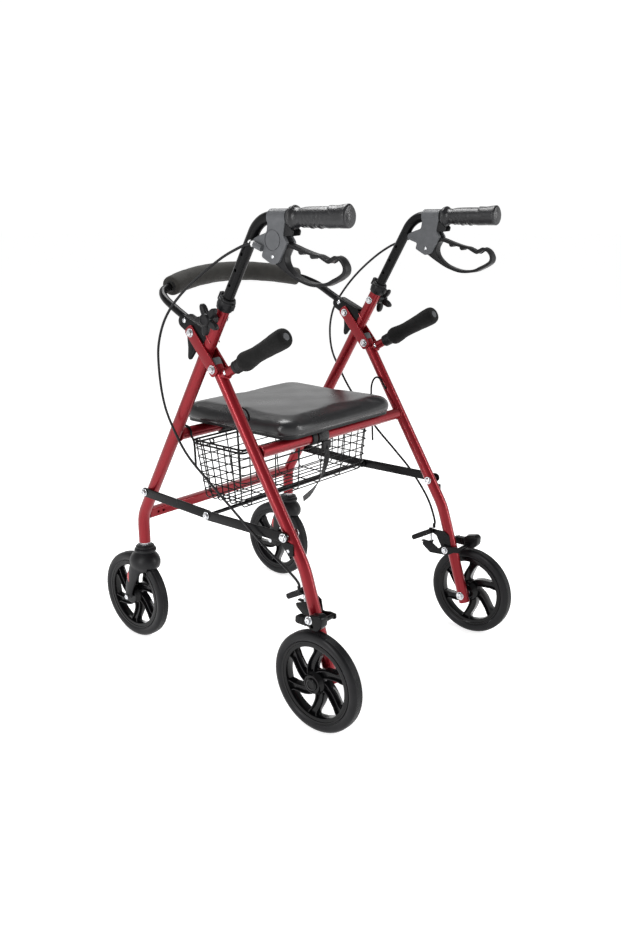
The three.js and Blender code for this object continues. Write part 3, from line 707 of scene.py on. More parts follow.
def front_uprights():
    """Bent tubes, each with the two fold plates that carry the backrest and the rear leg."""
    corner_z = UPRIGHT_Z - (STEM.y - UPRIGHT_Y) / LEAN
    corners = [(SIDE_X, STEM.y, 236), (SIDE_X, STEM.y, corner_z),
               (SIDE_X, upright_y(UPRIGHT_TOP), UPRIGHT_TOP)]
    post = tube(bent(corners, 80, 14), UPRIGHT_R, 32, bore=11.6)
    low, high = Vector(yz(FOLD)), Vector(yz(BACK_BOLT))
    along = (high - low).normalized()
    side = Vector((-along.y, along.x)) * 12
    reach = along * 13
    outline = rounded([low - reach - side, low - reach + side, high + reach + side,
                       high + reach - side], 8, 6)
    post.put(cheeks(outline, 12.55, 16.55, 1.0))
    for z in (675, 712):
        for way in (1, -1):
            bead = [(SIDE_X + way * 12.6, upright_y(z) + s * 6, z + s * 9) for s in (-1, -0.5, 0, 0.5, 1)]
            post.put(tube(bead, [0.8, 1.6, 1.4, 1.6, 0.8], 8))
    make_pair("upright", post, RED, "front_frame", ["front_upright_{s}"])
    clamp = hex_bolt((upright_y(752), 752), SIDE_X - 13, -1, 6.2, 4.2)
    make_pair("clamp_bolt", clamp, STEEL, "front_frame")


def cross_tubes():
    """The round tube under the seat's front and the square bar below it, with their welds."""
    x = SIDE_X - UPRIGHT_R - GAP
    bar = rod(FRONT_TUBE, -x, x, FRONT_TUBE_R, 32)
    for k, end in enumerate((-x, x)):
        bar.put(weld_bead((end, FRONT_TUBE.y, FRONT_TUBE.z), X_AXIS, 12.9, 11 + k))
    make("tube_front", bar, RED, "front_frame", ["cross_tube_front"])
    half, z = 10, LOW_BAR_Z
    low = box(-x, x, STEM.y - half, STEM.y + half, z - half, z + half, 2.2, 3)
    low = combine(low, [tube([(at, 200, z), (at, 300, z)], 3, 20) for at in (205, 190, -190, -205)])
    for k, end in enumerate((-x, x)):
        for row in (-9, 9):
            seam = [(end, STEM.y + s * 9, z + row) for s in (-1, -0.4, 0.2, 1)]
            low.put(tube(seam, [1.0, 1.5, 1.3, 1.0], 8))
    make("bar_lower", low, RED, "front_frame", ["crossbar_lower"])


def height_collars():
    """Plastic collars on the uprights' tops, with an ear in front and behind."""
    low, high = 770, 791
    start = Vector((SIDE_X, upright_y(low), low))
    slope = math.hypot(1, LEAN)
    s1 = (UPRIGHT_TOP - low) * slope + GAP
    s2 = (high - low) * slope
    profile = [(13.4, 0), (15.2, 0), (15.8, 0.8), (16.2, 4), (16.9, 6), (17.2, 8), (17.2, s2 - 6),
               (16.6, s2 - 4.6), (15.6, s2 - 4), (15.8, s2 - 2.4), (15.2, s2 - 0.6), (14.4, s2),
               (11.4, s2), (11.4, s1), (13.4, s1), (13.4, 0)]
    body = turned(profile, start, UP, 48)
    forward = Vector((0, UP.z, -UP.y))
    lean = Matrix.Rotation(math.atan(LEAN), 4, "X")
    for ear, at in ((box(-5, 5, -3.5, 4.5, -7, 10, 1.6, 3), UP * (s2 - 8) + forward * 17),
                    (box(-4, 4, -4.5, 3.5, -8, 5, 1.4, 3), UP * (s2 - 9) - forward * 16.4)):
        body.put(ear, move=Matrix.Translation(start + at) @ lean)
    make_pair("collar", body, PLASTIC, "front_frame", ["height_collar_{s}"])


def star_knobs():
    """Five lobes round a dome, on a threaded stud."""
    outline = []
    for k in range(120):
        turn = 2 * math.pi * k / 120
        r = 21.6 + 9.8 * math.cos(5 * turn + 0.5)
        outline.append((KNOB.y + r * math.cos(turn), KNOB.z + r * math.sin(turn)))
    head = plate(outline, SIDE_X + 28, SIDE_X + 41, 4.2, steps=5)
    dome = turned([(0, 14), (9.2, 14), (10, 14.8), (10.4, 22), (11, 26), (12.4, 40), (11.8, 42.8),
                   (10.2, 44.6), (8.4, 45), (7.8, 43.8), (0, 43.4)], KNOB, X_AXIS, 40)
    screw = turned([(0, 13.4), (4, 13.4), (4, 24), (0, 24)], KNOB, X_AXIS, 20, 1)
    make_pair("knob", head.put(dome).put(screw), [PLASTIC, STEEL], "star_knob_{s}",
              ["star_knob_{s}"])


def back_brackets():
    """Channels that hold the backrest bar, with a roof, a flap below and their bolts."""
    cheek = rounded([(91, 731), (95, 741), (88, 752), (77, 753), (20, 729), (14, 716), (25, 700),
                     (36, 700)], 6)
    shape = cheeks(cheek, 9.2, 12.3, 0.8)
    spine = [(86, 751.8), (77, 752.8), (22, 729.6)]
    roof = spine + [(y + 0.6, z - 2.4) for y, z in reversed(spine)]
    shape.put(plate(roof, SIDE_X - 11.6, SIDE_X + 11.6, 0.6))
    flap = rounded([(74, 712), (54, 708), (49, 694), (53, 682), (68, 664), (74, 668), (72, 690)], 5)
    hollow = rounded([(69, 703), (58, 701), (55, 693), (59, 684), (68, 676)], 3)
    shape.put(plate(flap, SIDE_X + 3.2, SIDE_X + 9.0, 0.9))
    shape.put(plate(hollow, SIDE_X + 9.0, SIDE_X + 9.6, 0.2))
    make_pair("bracket", shape, BLACK, "front_frame", ["backrest_bracket_{s}"])
    rivets = bolt_pair(hex_bolt, yz(BACK_BOLT), 16.7, 6.6, 4.2)
    rivets.put(bolt_pair(dome_bolt, yz(BACK_HINGE), 12.4, 5.0, 2.6))
    make_pair("bracket_bolt", rivets, STEEL, "front_frame")


def frame_bolts():
    fold = bolt_pair(hex_bolt, yz(FOLD), 16.7, 6.8, 4.6)
    fold.put(rod(FOLD, SIDE_X - 18, SIDE_X + 18, 4))
    make_pair("fold_bolt", fold, STEEL, "front_frame", ["pivot_bolt_{s}"])
    front = hex_bolt(yz(BRACE_FRONT), SIDE_X + 17.6, 1, 6.6, 4.4)
    front.put(hex_bolt(yz(BRACE_FRONT), SIDE_X - 13.2, -1, 6.6, 4.4))
    front.put(rod(BRACE_FRONT, SIDE_X - 14, SIDE_X + 18, 3.9))
    make_pair("brace_pin_front", front, STEEL, "front_frame", ["brace_bolt_front_{s}"])
    rear = hex_bolt(yz(BRACE_REAR), SIDE_X + 22.2, 1, 6.8, 4.4)
    rear.put(hex_bolt(yz(BRACE_REAR), SIDE_X - 12.4, -1, 6.6, 4.4))
    rear.put(rod(BRACE_REAR, SIDE_X - 13, SIDE_X + 23, 3.9))
    make_pair("brace_pin_rear", rear, STEEL, "rear_frame", ["brace_bolt_rear_{s}"])


# ---- rear frame -------------------------------------------------------------------------
LIFT_START = Vector((SIDE_X, -58, 665))
LIFT_WAY = Vector((0, -0.88, 0.475)).normalized()


def rear_legs():
    """Bent legs with the lift grip's stub and the end plug, and the tube that joins them."""
    bend = Vector((SIDE_X, *LEG_BEND))
    fold = Vector((SIDE_X, FOLD.y, FOLD.z))
    up = (fold - bend).normalized()
    corners = [(SIDE_X, REAR_AXLE.y - 5.4, REAR_AXLE.z - 17), bend, fold + up * 5]
    leg = tube(bent(corners, 160, 16), LEG_R, 32, bore=10.6)
    leg.put(tube([LIFT_START - LIFT_WAY * 46, LIFT_START + LIFT_WAY * 60], 9.5, 28))
    leg.put(weld_bead(LIFT_START - LIFT_WAY * 36, LIFT_WAY, 10.4, 31, 1.8))
    make_pair("leg", leg, RED, "rear_frame", ["rear_leg_{s}"])
    plug = turned([(0, -8), (10.4, -8), (10.4, 0.3), (12, 0.3), (12.2, 1), (12.2, 13), (11.6, 14.4),
                   (10.2, 15), (0, 15.4)], fold + up * 5, up, 32)
    make_pair("leg_plug", plug, GREY, "rear_frame")
    stub_bolt = bolt_pair(dome_bolt, (LIFT_START.y + 30, LIFT_START.z - 15.6), 9.2, 4.4, 2.4)
    make_pair("lift_bolt", stub_bolt, STEEL, "rear_frame")
    x = SIDE_X - LEG_R - GAP
    bar = rod(REAR_TUBE, -x, x, 12, 32)
    for k, end in enumerate((-x, x)):
        bar.put(weld_bead((end, REAR_TUBE.y, REAR_TUBE.z), X_AXIS, 12.5, 21 + k))
    make("tube_rear", bar, RED, "rear_frame", ["cross_tube_rear"])


def lift_grips():
    """Foam grips on the legs' stubs, with a collar at the foot and a cap at the end."""
    collar = turned([(9.7, -8), (12.6, -8), (13.2, -7.2), (13.2, -1), (12.4, -0.4), (12.4, 0.6),
                     (13.4, 1.2), (13.4, 10.6), (12.8, 11.6), (9.7, 11.6), (9.7, -8)],
                    LIFT_START, LIFT_WAY, 36)
    make_pair("lift_collar", collar, PLASTIC, "rear_frame")
    knots = [(11.8, 12.5), (13, 15.2), (17, 17.8), (25, 18.9), (36, 17.9), (48, 16.4), (62, 15.9),
             (80, 16.5), (98, 17.6), (114, 18.7), (127, 19.0), (134, 18.2), (138.4, 16.0),
             (140.2, 12.4), (140.4, 8.6), (139.2, 7.9), (138.8, 0)]
    fine = smooth_path([(r, s, 0) for s, r in knots], 4)
    foam = turned([(max(p.x, 0.0), p.y) for p in fine], LIFT_START, LIFT_WAY, 48)
    for vert in foam.verts:
        along = (vert - LIFT_START).dot(LIFT_WAY)
        out = vert - LIFT_START - LIFT_WAY * along
        wave = math.sin(along * 0.21 + vert.x * 0.13) * math.sin(vert.z * 0.17)
        if out.length > 9:
            vert += out.normalized() * 0.22 * wave
    for grip in make_pair("lift_foam", foam, BLACK_FOAM, "rear_frame", ["lift_grip_{s}"], 50):
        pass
    cap = turned([(0, 138), (7.6, 138), (7.6, 139.6), (6.8, 140.2), (0, 140.4)], LIFT_START, LIFT_WAY, 32)
    make_pair("lift_cap", cap, GREY, "rear_frame")


def helix(start, end, radius, turns):
    """The centre line of a coil spring."""
    steps = 14
    start, end = Vector(start), Vector(end)
    axis = (end - start).normalized()
    a = axis.orthogonal().normalized()
    b = axis.cross(a)
    count = int(turns * steps)
    points = []
    for k in range(count + 1):
        turn = 2 * math.pi * k / steps
        points.append(start.lerp(end, k / count) + (a * math.cos(turn) + b * math.sin(turn)) * radius)
    return points


def rear_brakes():
    """The bracket with its cable stop, the spring, and the arm that carries the shoe."""
    x1 = SIDE_X - LEG_R - GAP
    outline = [(-240, 246), (-252, 238), (-258, 204), (-252, 194), (-240, 194), (-230, 212), (-218, 232),
               (-198, 240), (-198, 244), (-222, 246)]
    fixed = plate(outline, x1 - 3, x1, 0.7)
    fixed.put(box(x1 - 3, x1 + 8, -212, -198, 239.6, 243, 0.8))
    pad = smooth_loop(capsule((-205, 241), (-164, 218), 5.8, 4), 2)
    fixed.put(plate(pad, x1 - 15, x1 - 4, 1.6))
    for k in range(6):
        ridge = Vector((0, 6 * k - 193.6, 240.4 - 3.4 * k))
        fixed.put(rod(ridge, x1 - 14, x1 - 5, 1.0, 8))
    fixed.put(tube([(x1 - 4, -203, 248), (x1 - 5, -205, 235)], 4.4, 20, round_end=0.8))
    make_pair("brake_stay", fixed, BLACK, "rear_frame", ["brake_bracket_{s}"])
    x2 = x1 - 3 - GAP
    metal = tube(helix((x1 - 6, -205, 235), (x1 - 7, -208, 217), 2.6, 7), 0.7, 8)
    metal.put(tube([(x1 - 6, -204, 246), (x1 - 7, -210, 212)], 0.9, 10))
    metal.put(rod(ARM_PIVOT, x1 - 10, x1, 4))
    metal.put(hex_bolt(yz(ARM_PIVOT), x1 - 9.4, -1, 6.0, 4.2))
    make_pair("brake_spring", metal, STEEL, "rear_frame")
    arm_line = rounded([(-184, 210), (-186, 203), (-206, 189), (-240, 192), (-252, 193), (-268, 203),
                        (-284, 206), (-284, 216), (-270, 217), (-256, 214), (-240, 215), (-227, 203),
                        (-210, 213), (-215, 222)], 2)
    arm = plate(arm_line, x2 - 5, x2, 1.0)
    arm.put(box(x2 - 12, x2 - 4, -214, -186, 214.5, 217.5, 0.8))
    arm.put(tube([(x2 - 3, -278, 211.5), (SIDE_X + 45, -278, 211.5)], 4.5, 24, round_end=0.8))
    shoe = rounded([(-279, 203.4), (-268, 207), (-265, 226), (-272, 232), (-294, 237), (-301, 232),
                    (-300, 215), (-290, 204)], 4)
    arm.put(plate(shoe, SIDE_X + 26, SIDE_X + 45, 1.8))
    arm.put(plate(rounded([(-268, 207), (-238, 206), (-235, 209), (-236, 221), (-268, 224)], 3),
                  SIDE_X + 29, SIDE_X + 43, 1.2))
    for k in range(3):
        arm.put(box(SIDE_X + 28.5, SIDE_X + 43.5, -262 + k * 8, -258 + k * 8, 206.6, 222.6, 0.6, 1))
    make_pair("brake_shoe", arm, BLACK, "brake_arm_{s}", ["brake_arm_{s}"])
    bolt = hex_bolt((-271, 222), SIDE_X + 45.2, 1, 6.4, 4.4)
    make_pair("shoe_bolt", bolt, STEEL, "brake_arm_{s}")


def rear_axles():
    """Axles with a bolt head on the leg's inner side and a spacer on its outer side."""
    parts = hex_bolt(yz(REAR_AXLE), SIDE_X - LEG_R, -1, 7.4, 5)
    parts.put(rod(REAR_AXLE, SIDE_X - 14, SIDE_X + 50, 5, 20))
    parts.put(turned([(5, 0), (9, 0), (9, 4.4), (5, 4.4), (5, 0)],
                     (SIDE_X + LEG_R, REAR_AXLE.y, REAR_AXLE.z), X_AXIS, 28))
    make_pair("axle_rear", parts, STEEL, "rear_frame", ["rear_axle_{s}"])


# ---- side braces ------------------------------------------------------------------------
def braces():
    """Two flat bars a side; the front ones are joined by the pin through the middle joint."""
    x0 = SIDE_X + UPRIGHT_R + GAP
    mid = yz(BRACE_MID)
    link = plate(capsule(mid, yz(BRACE_FRONT), 10, 12), x0, x0 + 4, 0.9)
    pin = hex_bolt(mid, x0 + 8.6, 1, 6.0, 4.0)
    both = Shape().put(link).put(link.mirrored())
    both.put(rod(BRACE_MID, -x0 - 1, x0 + 1, 4, 24))
    both.put(pin, 1).put(pin.mirrored(), 1)
    make("brace_links", both, [BLACK, STEEL], "brace_front", ["brace_front"])
    rear = plate(capsule(yz(BRACE_REAR), mid, 10, 12), x0 + 4.4, x0 + 8.4, 0.9)
    make_pair("brace_link_rear", rear, BLACK, "brace_rear", ["brace_rear_{s}"])
    gusset = [(-180, 348), (-206, 345), (-207, 322), (-196, 318), (-172, 345)]
    plates = plate(gusset, SIDE_X + LEG_R + 0.6, SIDE_X + LEG_R + 3, 0.7)
    make_pair("brace_gusset", plates, BLACK, "rear_frame")
    make_pair("gusset_bolt", dome_bolt((-194, 330), SIDE_X + LEG_R + 3, 1, 4.2, 2.4), STEEL,
              "rear_frame")


# ---- seat -------------------------------------------------------------------------------
SEAT = {"half_x": 183, "front": 192, "rear": -134, "bottom": 515.2}
SEAT_MID_Y = (SEAT["front"] + SEAT["rear"]) / 2
SEAT_HALF_Y = (SEAT["front"] - SEAT["rear"]) / 2


def rounded_rect(x0, x1, y0, y1, radius, steps=8):
    """A rectangle with round corners as a 2-D outline."""
    out = []
    for cx, cy, quarter in ((x1 - radius, y1 - radius, 0), (x0 + radius, y1 - radius, 1),
                            (x0 + radius, y0 + radius, 2), (x1 - radius, y0 + radius, 3)):
        for k in range(steps + 1):
            a = (quarter + k / steps) * math.pi / 2
            out.append((cx + radius * math.cos(a), cy + radius * math.sin(a)))
    return out


def slab(levels, corner):
    """A cushion blank: (z, inset) levels of one rounded rectangle, capped at both ends."""
    rings = []
    for z, inset in levels:
        outline = rounded_rect(-SEAT["half_x"] + inset, SEAT["half_x"] - inset, SEAT["rear"] + inset,
                               SEAT["front"] - inset, max(corner - inset, 6))
        rings.append([Vector((x, y, z)) for x, y in outline])
    return loft(rings)


def inflate(shape, voxel, pressure, cap, floor_z):
    """Swells a blank by a short cloth simulation, in working millimetres, and caps the travel."""
    holder = plain_object(shape)
    holder.data.transform(Matrix.Scale(MM, 4))
    remesh = holder.modifiers.new("remesh", "REMESH")
    remesh.mode = "VOXEL"
    remesh.voxel_size = voxel * MM
    bpy.context.view_layer.update()
    mesh = evaluated(holder)
    before = np.array([v.co for v in mesh.vertices], float)
    body = link("cushion_sim", mesh)
    after = swollen(body, pressure, (floor_z + 3) * MM)
    move = after - before
    length = np.linalg.norm(move, axis=1, keepdims=True)
    limit = cap * MM
    move *= np.where(length > limit, limit / np.maximum(length, 1e-9), 1.0)
    out = from_mesh(body.data)
    out.verts = [Vector(p) for p in (before + move) / MM]
    bpy.data.objects.remove(body)
    return out


def swollen(body, pressure, held_below):
    """The body's points after 20 frames of air pressure, with the points below a height held."""
    group = body.vertex_groups.new(name="held")
    group.add([v.index for v in body.data.vertices if v.co.z < held_below], 1.0, "REPLACE")
    cloth = body.modifiers.new("cloth", "CLOTH")
    cloth.settings.use_pressure = True
    cloth.settings.uniform_pressure_force = pressure
    cloth.settings.tension_stiffness = 25
    cloth.settings.compression_stiffness = 25
    cloth.settings.shear_stiffness = 12
    cloth.settings.bending_stiffness = 4
    cloth.settings.effector_weights.gravity = 0
    cloth.settings.vertex_group_mass = "held"
    cloth.point_cache.frame_start = 1
    cloth.point_cache.frame_end = 20
    scene = bpy.context.scene
    for number in range(1, 21):
        scene.frame_set(number)
    result = body.evaluated_get(bpy.context.evaluated_depsgraph_get()).to_mesh()
    after = np.array([v.co for v in result.vertices], float)
    body.modifiers.clear()
    scene.frame_set(1)
    return after


def seat():
    """The vinyl cushion, its hem, and the board with its clips and screws."""
    bottom = SEAT["bottom"] + 5.4
    levels = [(bottom, 10), (bottom + 2, 7), (bottom + 6, 5), (bottom + 14, 4.5), (bottom + 21, 6.5),
              (bottom + 27, 11), (bottom + 31, 18), (bottom + 33, 28)]
    blank = slab(levels, 44)
    pad = inflate(blank, 5.0, 1.6, 2.6, bottom)
    top = max(v.z for v in pad.verts)
    for vert in pad.verts:
        u = vert.x / SEAT["half_x"]
        w = (vert.y - SEAT_MID_Y) / SEAT_HALF_Y
        edge = max(abs(u), abs(w))
        if vert.z > top - 12 and edge < 0.86:
            swell = (1 - u * u) * (1 - w * w)
            vert.z += 1.2 * swell + 0.35 * math.sin(vert.x * 0.045 + 1) * math.sin(vert.y * 0.06)
        if edge > 0.8 and vert.z > bottom + 6:
            pull = math.sin(math.atan2(w, u) * 23) * 0.35 + math.sin(math.atan2(w, u) * 41 + 1) * 0.2
            vert.z += pull * (edge - 0.8) * 2
    pad = with_modifiers(pad, [("SMOOTH", {"factor": 0.5, "iterations": 3}),
                               ("SUBSURF", {"levels": 1, "render_levels": 1})])
    cushion = make("seat_cushion", pad, VINYL, "seat", ["seat_pad"], 60)
    loop = rounded_rect(-172, 172, SEAT["rear"] + 11, SEAT["front"] - 11, 30)
    hem = tube([(x, y, bottom + 1.2) for x, y in loop], 1.5, 10, closed=True)
    make("seat_hem", hem, VINYL, "seat")
    ground = rounded_rect(-171, 171, SEAT["rear"] + 12, SEAT["front"] - 12, 26)
    board = loft([[(x, y, z) for x, y in ground] for z in (SEAT["bottom"], SEAT["bottom"] + 5)])
    clip = [(12.8, 0), (16.6, 0), (17.2, 0.8), (17.2, 23.2), (16.6, 24), (12.8, 24), (12.8, 0)]
    for x in (-112, 88):
        board.put(turned(clip, (x, FRONT_TUBE.y, FRONT_TUBE.z), X_AXIS, 40))
        board.put(box(x + 2, x + 22, FRONT_TUBE.y - 9, FRONT_TUBE.y + 9, 513.5, 517, 0.8))
    for x in (-130, -60, 0, 60, 130):
        for y in (-90, 30, 160):
            board.put(turned([(0, 0), (4, 0), (3.4, -1.6), (0, -2)], (x, y, SEAT["bottom"]), Z_AXIS, 16))
    make("seat_base", board, PLASTIC, "seat", ["seat_board"])


def tube_clips():
    """Moulded rests on the rear tube, which the seat lies on."""
    rests = Shape()
    for x, width in ((-84, 14), (-66, 10)):
        profile = [(12.3, 0), (15, 0), (15.6, 0.7), (15.6, width - 0.7), (15, width), (12.3, width),
                   (12.3, 0)]
        rests.put(turned(profile, (x, REAR_TUBE.y, REAR_TUBE.z), X_AXIS, 36))
        rests.put(box(x + 1, x + width - 1, REAR_TUBE.y - 9, REAR_TUBE.y + 9, 510, 514.6, 1.2))
    make("tube_rests", rests, PLASTIC, "rear_frame")


def ribbon(points, across, thick):
    """A flat strap: centre points, a width vector at each, and a thickness."""
    points = [Vector(p) for p in points]
    section = [(-1, -0.6), (-0.96, -1), (0.96, -1), (1, -0.6), (1, 0.6), (0.96, 1), (-0.96, 1), (-1, 0.6)]
    rings = []
    for i, (point, wide) in enumerate(zip(points, across)):
        along = (points[min(i + 1, len(points) - 1)] - points[max(i - 1, 0)]).normalized()
        wide = Vector(wide)
        face = along.cross(wide).normalized() * thick / 2
        rings.append([point + wide / 2 * a + face * b for a, b in section])
    return loft(rings)


def pull_strap():
    """A web looped round the rear tube, whose free end hangs down and twists."""
    radius = 13.7
    around = []
    for k in range(25):
        turn = math.radians(90 + k * 15)
        around.append((-45, REAR_TUBE.y + radius * math.cos(turn), REAR_TUBE.z + radius * math.sin(turn)))
    band = ribbon(around, [(24, 0, 0)] * len(around), 1.6)
    drop = smooth_path([(-45, -108, 489), (-43, -112, 474), (-45, -114, 452), (-56, -114, 426),
                        (-74, -113, 404), (-94, -111, 389), (-112, -108, 380)], 6)
    wide = []
    for k in range(len(drop)):
        t = k / (len(drop) - 1)
        turn = math.radians(82 - 70 * min(1, max(0, (t - 0.35) / 0.5)))
        tangent = (drop[min(k + 1, len(drop) - 1)] - drop[max(k - 1, 0)]).normalized()
        side = tangent.cross(Vector((0, 1, 0))).normalized()
        wide.append((side * math.cos(turn) + Vector((0, 1, 0)) * math.sin(turn)) * 15)
    band.put(ribbon(drop, wide, 1.6))
    make("strap_web", band, WEBBING, "rear_frame", ["pull_strap"])
    buckle = box(-58, -32, -116, -110, 474, 492, 1.6, 3)
    make("strap_buckle", buckle, PLASTIC, "rear_frame")


# ---- basket -----------------------------------------------------------------------------
BASKET = {"half_x": 211, "rear": -33, "front": 110, "bottom": 363, "top": 489}


def basket_half(z):
    """Half width, rear and front of the basket at height z."""
    t = (BASKET["top"] - z) / (BASKET["top"] - BASKET["bottom"])
    return BASKET["half_x"] - 14 * t, BASKET["rear"] + 7 * t, BASKET["front"] - 14 * t


def basket():
    """Rails and grid wires, two hooks over the front tube and two eyes on the top rail."""
    shape = Shape()
    top, bottom = BASKET["top"], BASKET["bottom"]
    levels = [top - 18 * k for k in range(1, 7)]
    for z in [top, top - 7] + levels:
        half, rear, front = basket_half(z)
        loop = rounded_rect(-half, half, rear, front, 9, 4)
        shape.put(tube([(x, y, z) for x, y in loop], 2.2 if z >= top - 7 else 1.3, 8, closed=True))
    half_low, rear_low, front_low = basket_half(bottom)
    for k in range(7):
        share = (k + 0.5) / 7
        y_top = BASKET["rear"] + share * (BASKET["front"] - BASKET["rear"])
        y_low = rear_low + share * (front_low - rear_low)
        corners = [(-BASKET["half_x"] - 1.6, y_top, top + 1), (-half_low - 1, y_low, bottom),
                   (half_low + 1, y_low, bottom), (BASKET["half_x"] + 1.6, y_top, top + 1)]
        shape.put(tube(bent(corners, 10, 4), 1.35, 8))
    for k in range(6):
        share = (k + 0.25) / 5.5
        x_top = -BASKET["half_x"] + share * 2 * BASKET["half_x"]
        x_low = -half_low + share * 2 * half_low
        lift = bottom + 2.2
        corners = [(x_top, BASKET["rear"] - 1.6, top + 1), (x_low, rear_low - 1, lift),
                   (x_low, front_low + 1, lift), (x_top, BASKET["front"] + 1.6, top + 1)]
        shape.put(tube(bent(corners, 10, 4), 1.35, 8))
    hook_r = 2.4
    reach = FRONT_TUBE_R + GAP + hook_r
    for side in (1, -1):
        x = side * (BASKET["half_x"] - 4)
        points = [(x, BASKET["front"] - 1, top - 60), (x, BASKET["front"] + 1, top - 14),
                  (x, BASKET["front"] + 4, top - 2)]
        for k in range(8):
            a = math.radians(195 - k * 30)
            points.append((x, FRONT_TUBE.y + reach * math.cos(a), FRONT_TUBE.z + reach * math.sin(a)))
        shape.put(tube(smooth_path(points, 3), hook_r, 14, round_end=0.8))
        loop_x = side * (BASKET["half_x"] + 1)
        eye = [(loop_x, 52 + 6 * math.sin(t), top + 3 + 9 * (1 - math.cos(t)) / 2)
               for t in [k / 12 * 2 * math.pi for k in range(13)]]
        shape.put(tube(eye, 1.6, 10))
    make("basket_wires", shape, BLACK, "basket", ["wire_basket"])


def basket_hangers():
    """Wires that rise beside the basket, curl over and end on the inner side of the rear legs."""
    x = SIDE_X - 20.5
    line = [(x, -36, 428), (x, -34, 470), (x, -31, 520), (x, -29.5, 552), (x, -34, 570), (x, -43, 579),
            (x, -54, 577), (x, -62, 568), (x + 1.6, -65.5, 560), (x + 4.5, -65, 556.6),
            (SIDE_X - 12.7, -64.5, 556)]
    shape = tube(smooth_path(line, 5), 2.1, 14, round_end=0.6)
    shape.put(weld_bead((SIDE_X - 13.6, -64.5, 556), X_AXIS, 2.3, 41, 0.9))
    make_pair("hanger", shape, BLACK, "rear_frame", ["basket_hanger_{s}"])


# ---- backrest ---------------------------------------------------------------------------
PAD_HALF, PAD_Y, PAD_Z = 196, 209, 819   # half length of the foam, and its middle
PAD_STEPS = 30


def backrest():
    """A bent bar inside a foam pad, with a ring at each end of the foam."""
    half = [(240, BACK_HINGE.y, BACK_HINGE.z), (240, 112, 760), (238, 144, 777), (227, 166, 788),
            (208, 178, 796), (150, 194, 808), (80, 205, 816), (0, PAD_Y, PAD_Z)]
    line = half + [(-x, y, z) for x, y, z in reversed(half[:-1])]
    bar = tube(smooth_path(line, 6), 8, 28, round_end=1.5)
    make("back_bar", bar, BLACK, "backrest", ["backrest_bar"])
    core, radii = [], []
    for k in range(2 * PAD_STEPS + 1):
        t = k / PAD_STEPS - 1
        core.append(Vector((PAD_HALF * t, PAD_Y - 31 * t * t, PAD_Z - 20 * t * t)))
        radii.append(20.8 - 0.9 * abs(t) ** 6 + 0.12 * math.sin(k * 1.7))
    foam = tube(core, radii, 48, round_end=4.0)
    for vert in foam.verts:
        vert.z += 0.25 * math.sin(vert.x * 0.11) * math.sin(vert.y * 0.13 + 1)
    pad = make("back_pad", foam, FOAM, "backrest", ["backrest_pad"], 55)
    collars = Shape()
    for way in (1, -1):
        profile = [(8.1, -3), (10.6, -3), (11, -2.4), (11, 0.8), (10.2, 1.4), (8.1, 1.4), (8.1, -3)]
        collars.put(turned(profile, (way * (PAD_HALF + GAP), 178, 799), (way, -0.32, -0.2), 32))
    make("pad_rings", collars, PLASTIC, "backrest")


# ---- handles ----------------------------------------------------------------------------
def handle_line():
    """The handle tube's centre line."""
    return bent([(SIDE_X, upright_y(628), 628), (SIDE_X, upright_y(GRIP_Z), GRIP_Z),
                 (SIDE_X, -318, GRIP_Z)], 52, 16)


def handle_tubes():
    """Height tubes with their three holes, bent back into the grips."""
    post = tube(handle_line(), HANDLE_R, 32, bore=9.3)
    drills = [tube([(200, upright_y(z), z), (280, upright_y(z), z)], 3.2, 20)
              for z in (872, 843, 815)]
    post = combine(post, drills)
    make_pair("handle", post, BLACK, "handle_{s}", ["handle_tube_{s}"])


def smooth_step(low, high, value):
    """0 below low, 1 above high, and an easy curve between."""
    t = min(1.0, max(0.0, (value - low) / (high - low)))
    return t * t * (3 - 2 * t)


def grip_radius(s, turn):
    """Radius of the moulded hand grip at s from its front end and turn about its axis."""
    flange = 3.6 * math.exp(-((s - 7) / 4.6) ** 2)
    neck = -1.6 * math.exp(-((s - 21) / 8) ** 2)
    swell = 0.9 * math.sin(math.pi * min(1, max(0, (s - 22) / 84)))
    ribs = 0.0
    if 28 < s < 76:
        under = max(0.0, 0.35 + 0.65 * math.cos(turn - math.pi))
        ribs = 0.55 * math.cos((s - 28) / 48 * 2 * math.pi * 5) * under
    fingers = 0.0
    if 30 < s < 84:
        under = max(0.0, math.cos(turn - math.pi)) ** 2
        fingers = -1.2 * math.sin((s - 30) / 54 * 3 * math.pi) ** 2 * under
    palm = max(0.0, math.cos(turn)) ** 0.7
    rest_edge = 84 + 22 * (1 - palm)
    rest = (1.7 * palm + 0.3) * smooth_step(rest_edge, rest_edge + 2.2, s)
    wing = 2.6 * smooth_step(98, 124, s) * max(0.0, math.cos(turn)) ** 6
    bead = 1.2 * math.exp(-((s - 2) / 1.6) ** 2)
    return 17.2 + flange + neck + swell + ribs + fingers + rest + wing + bead


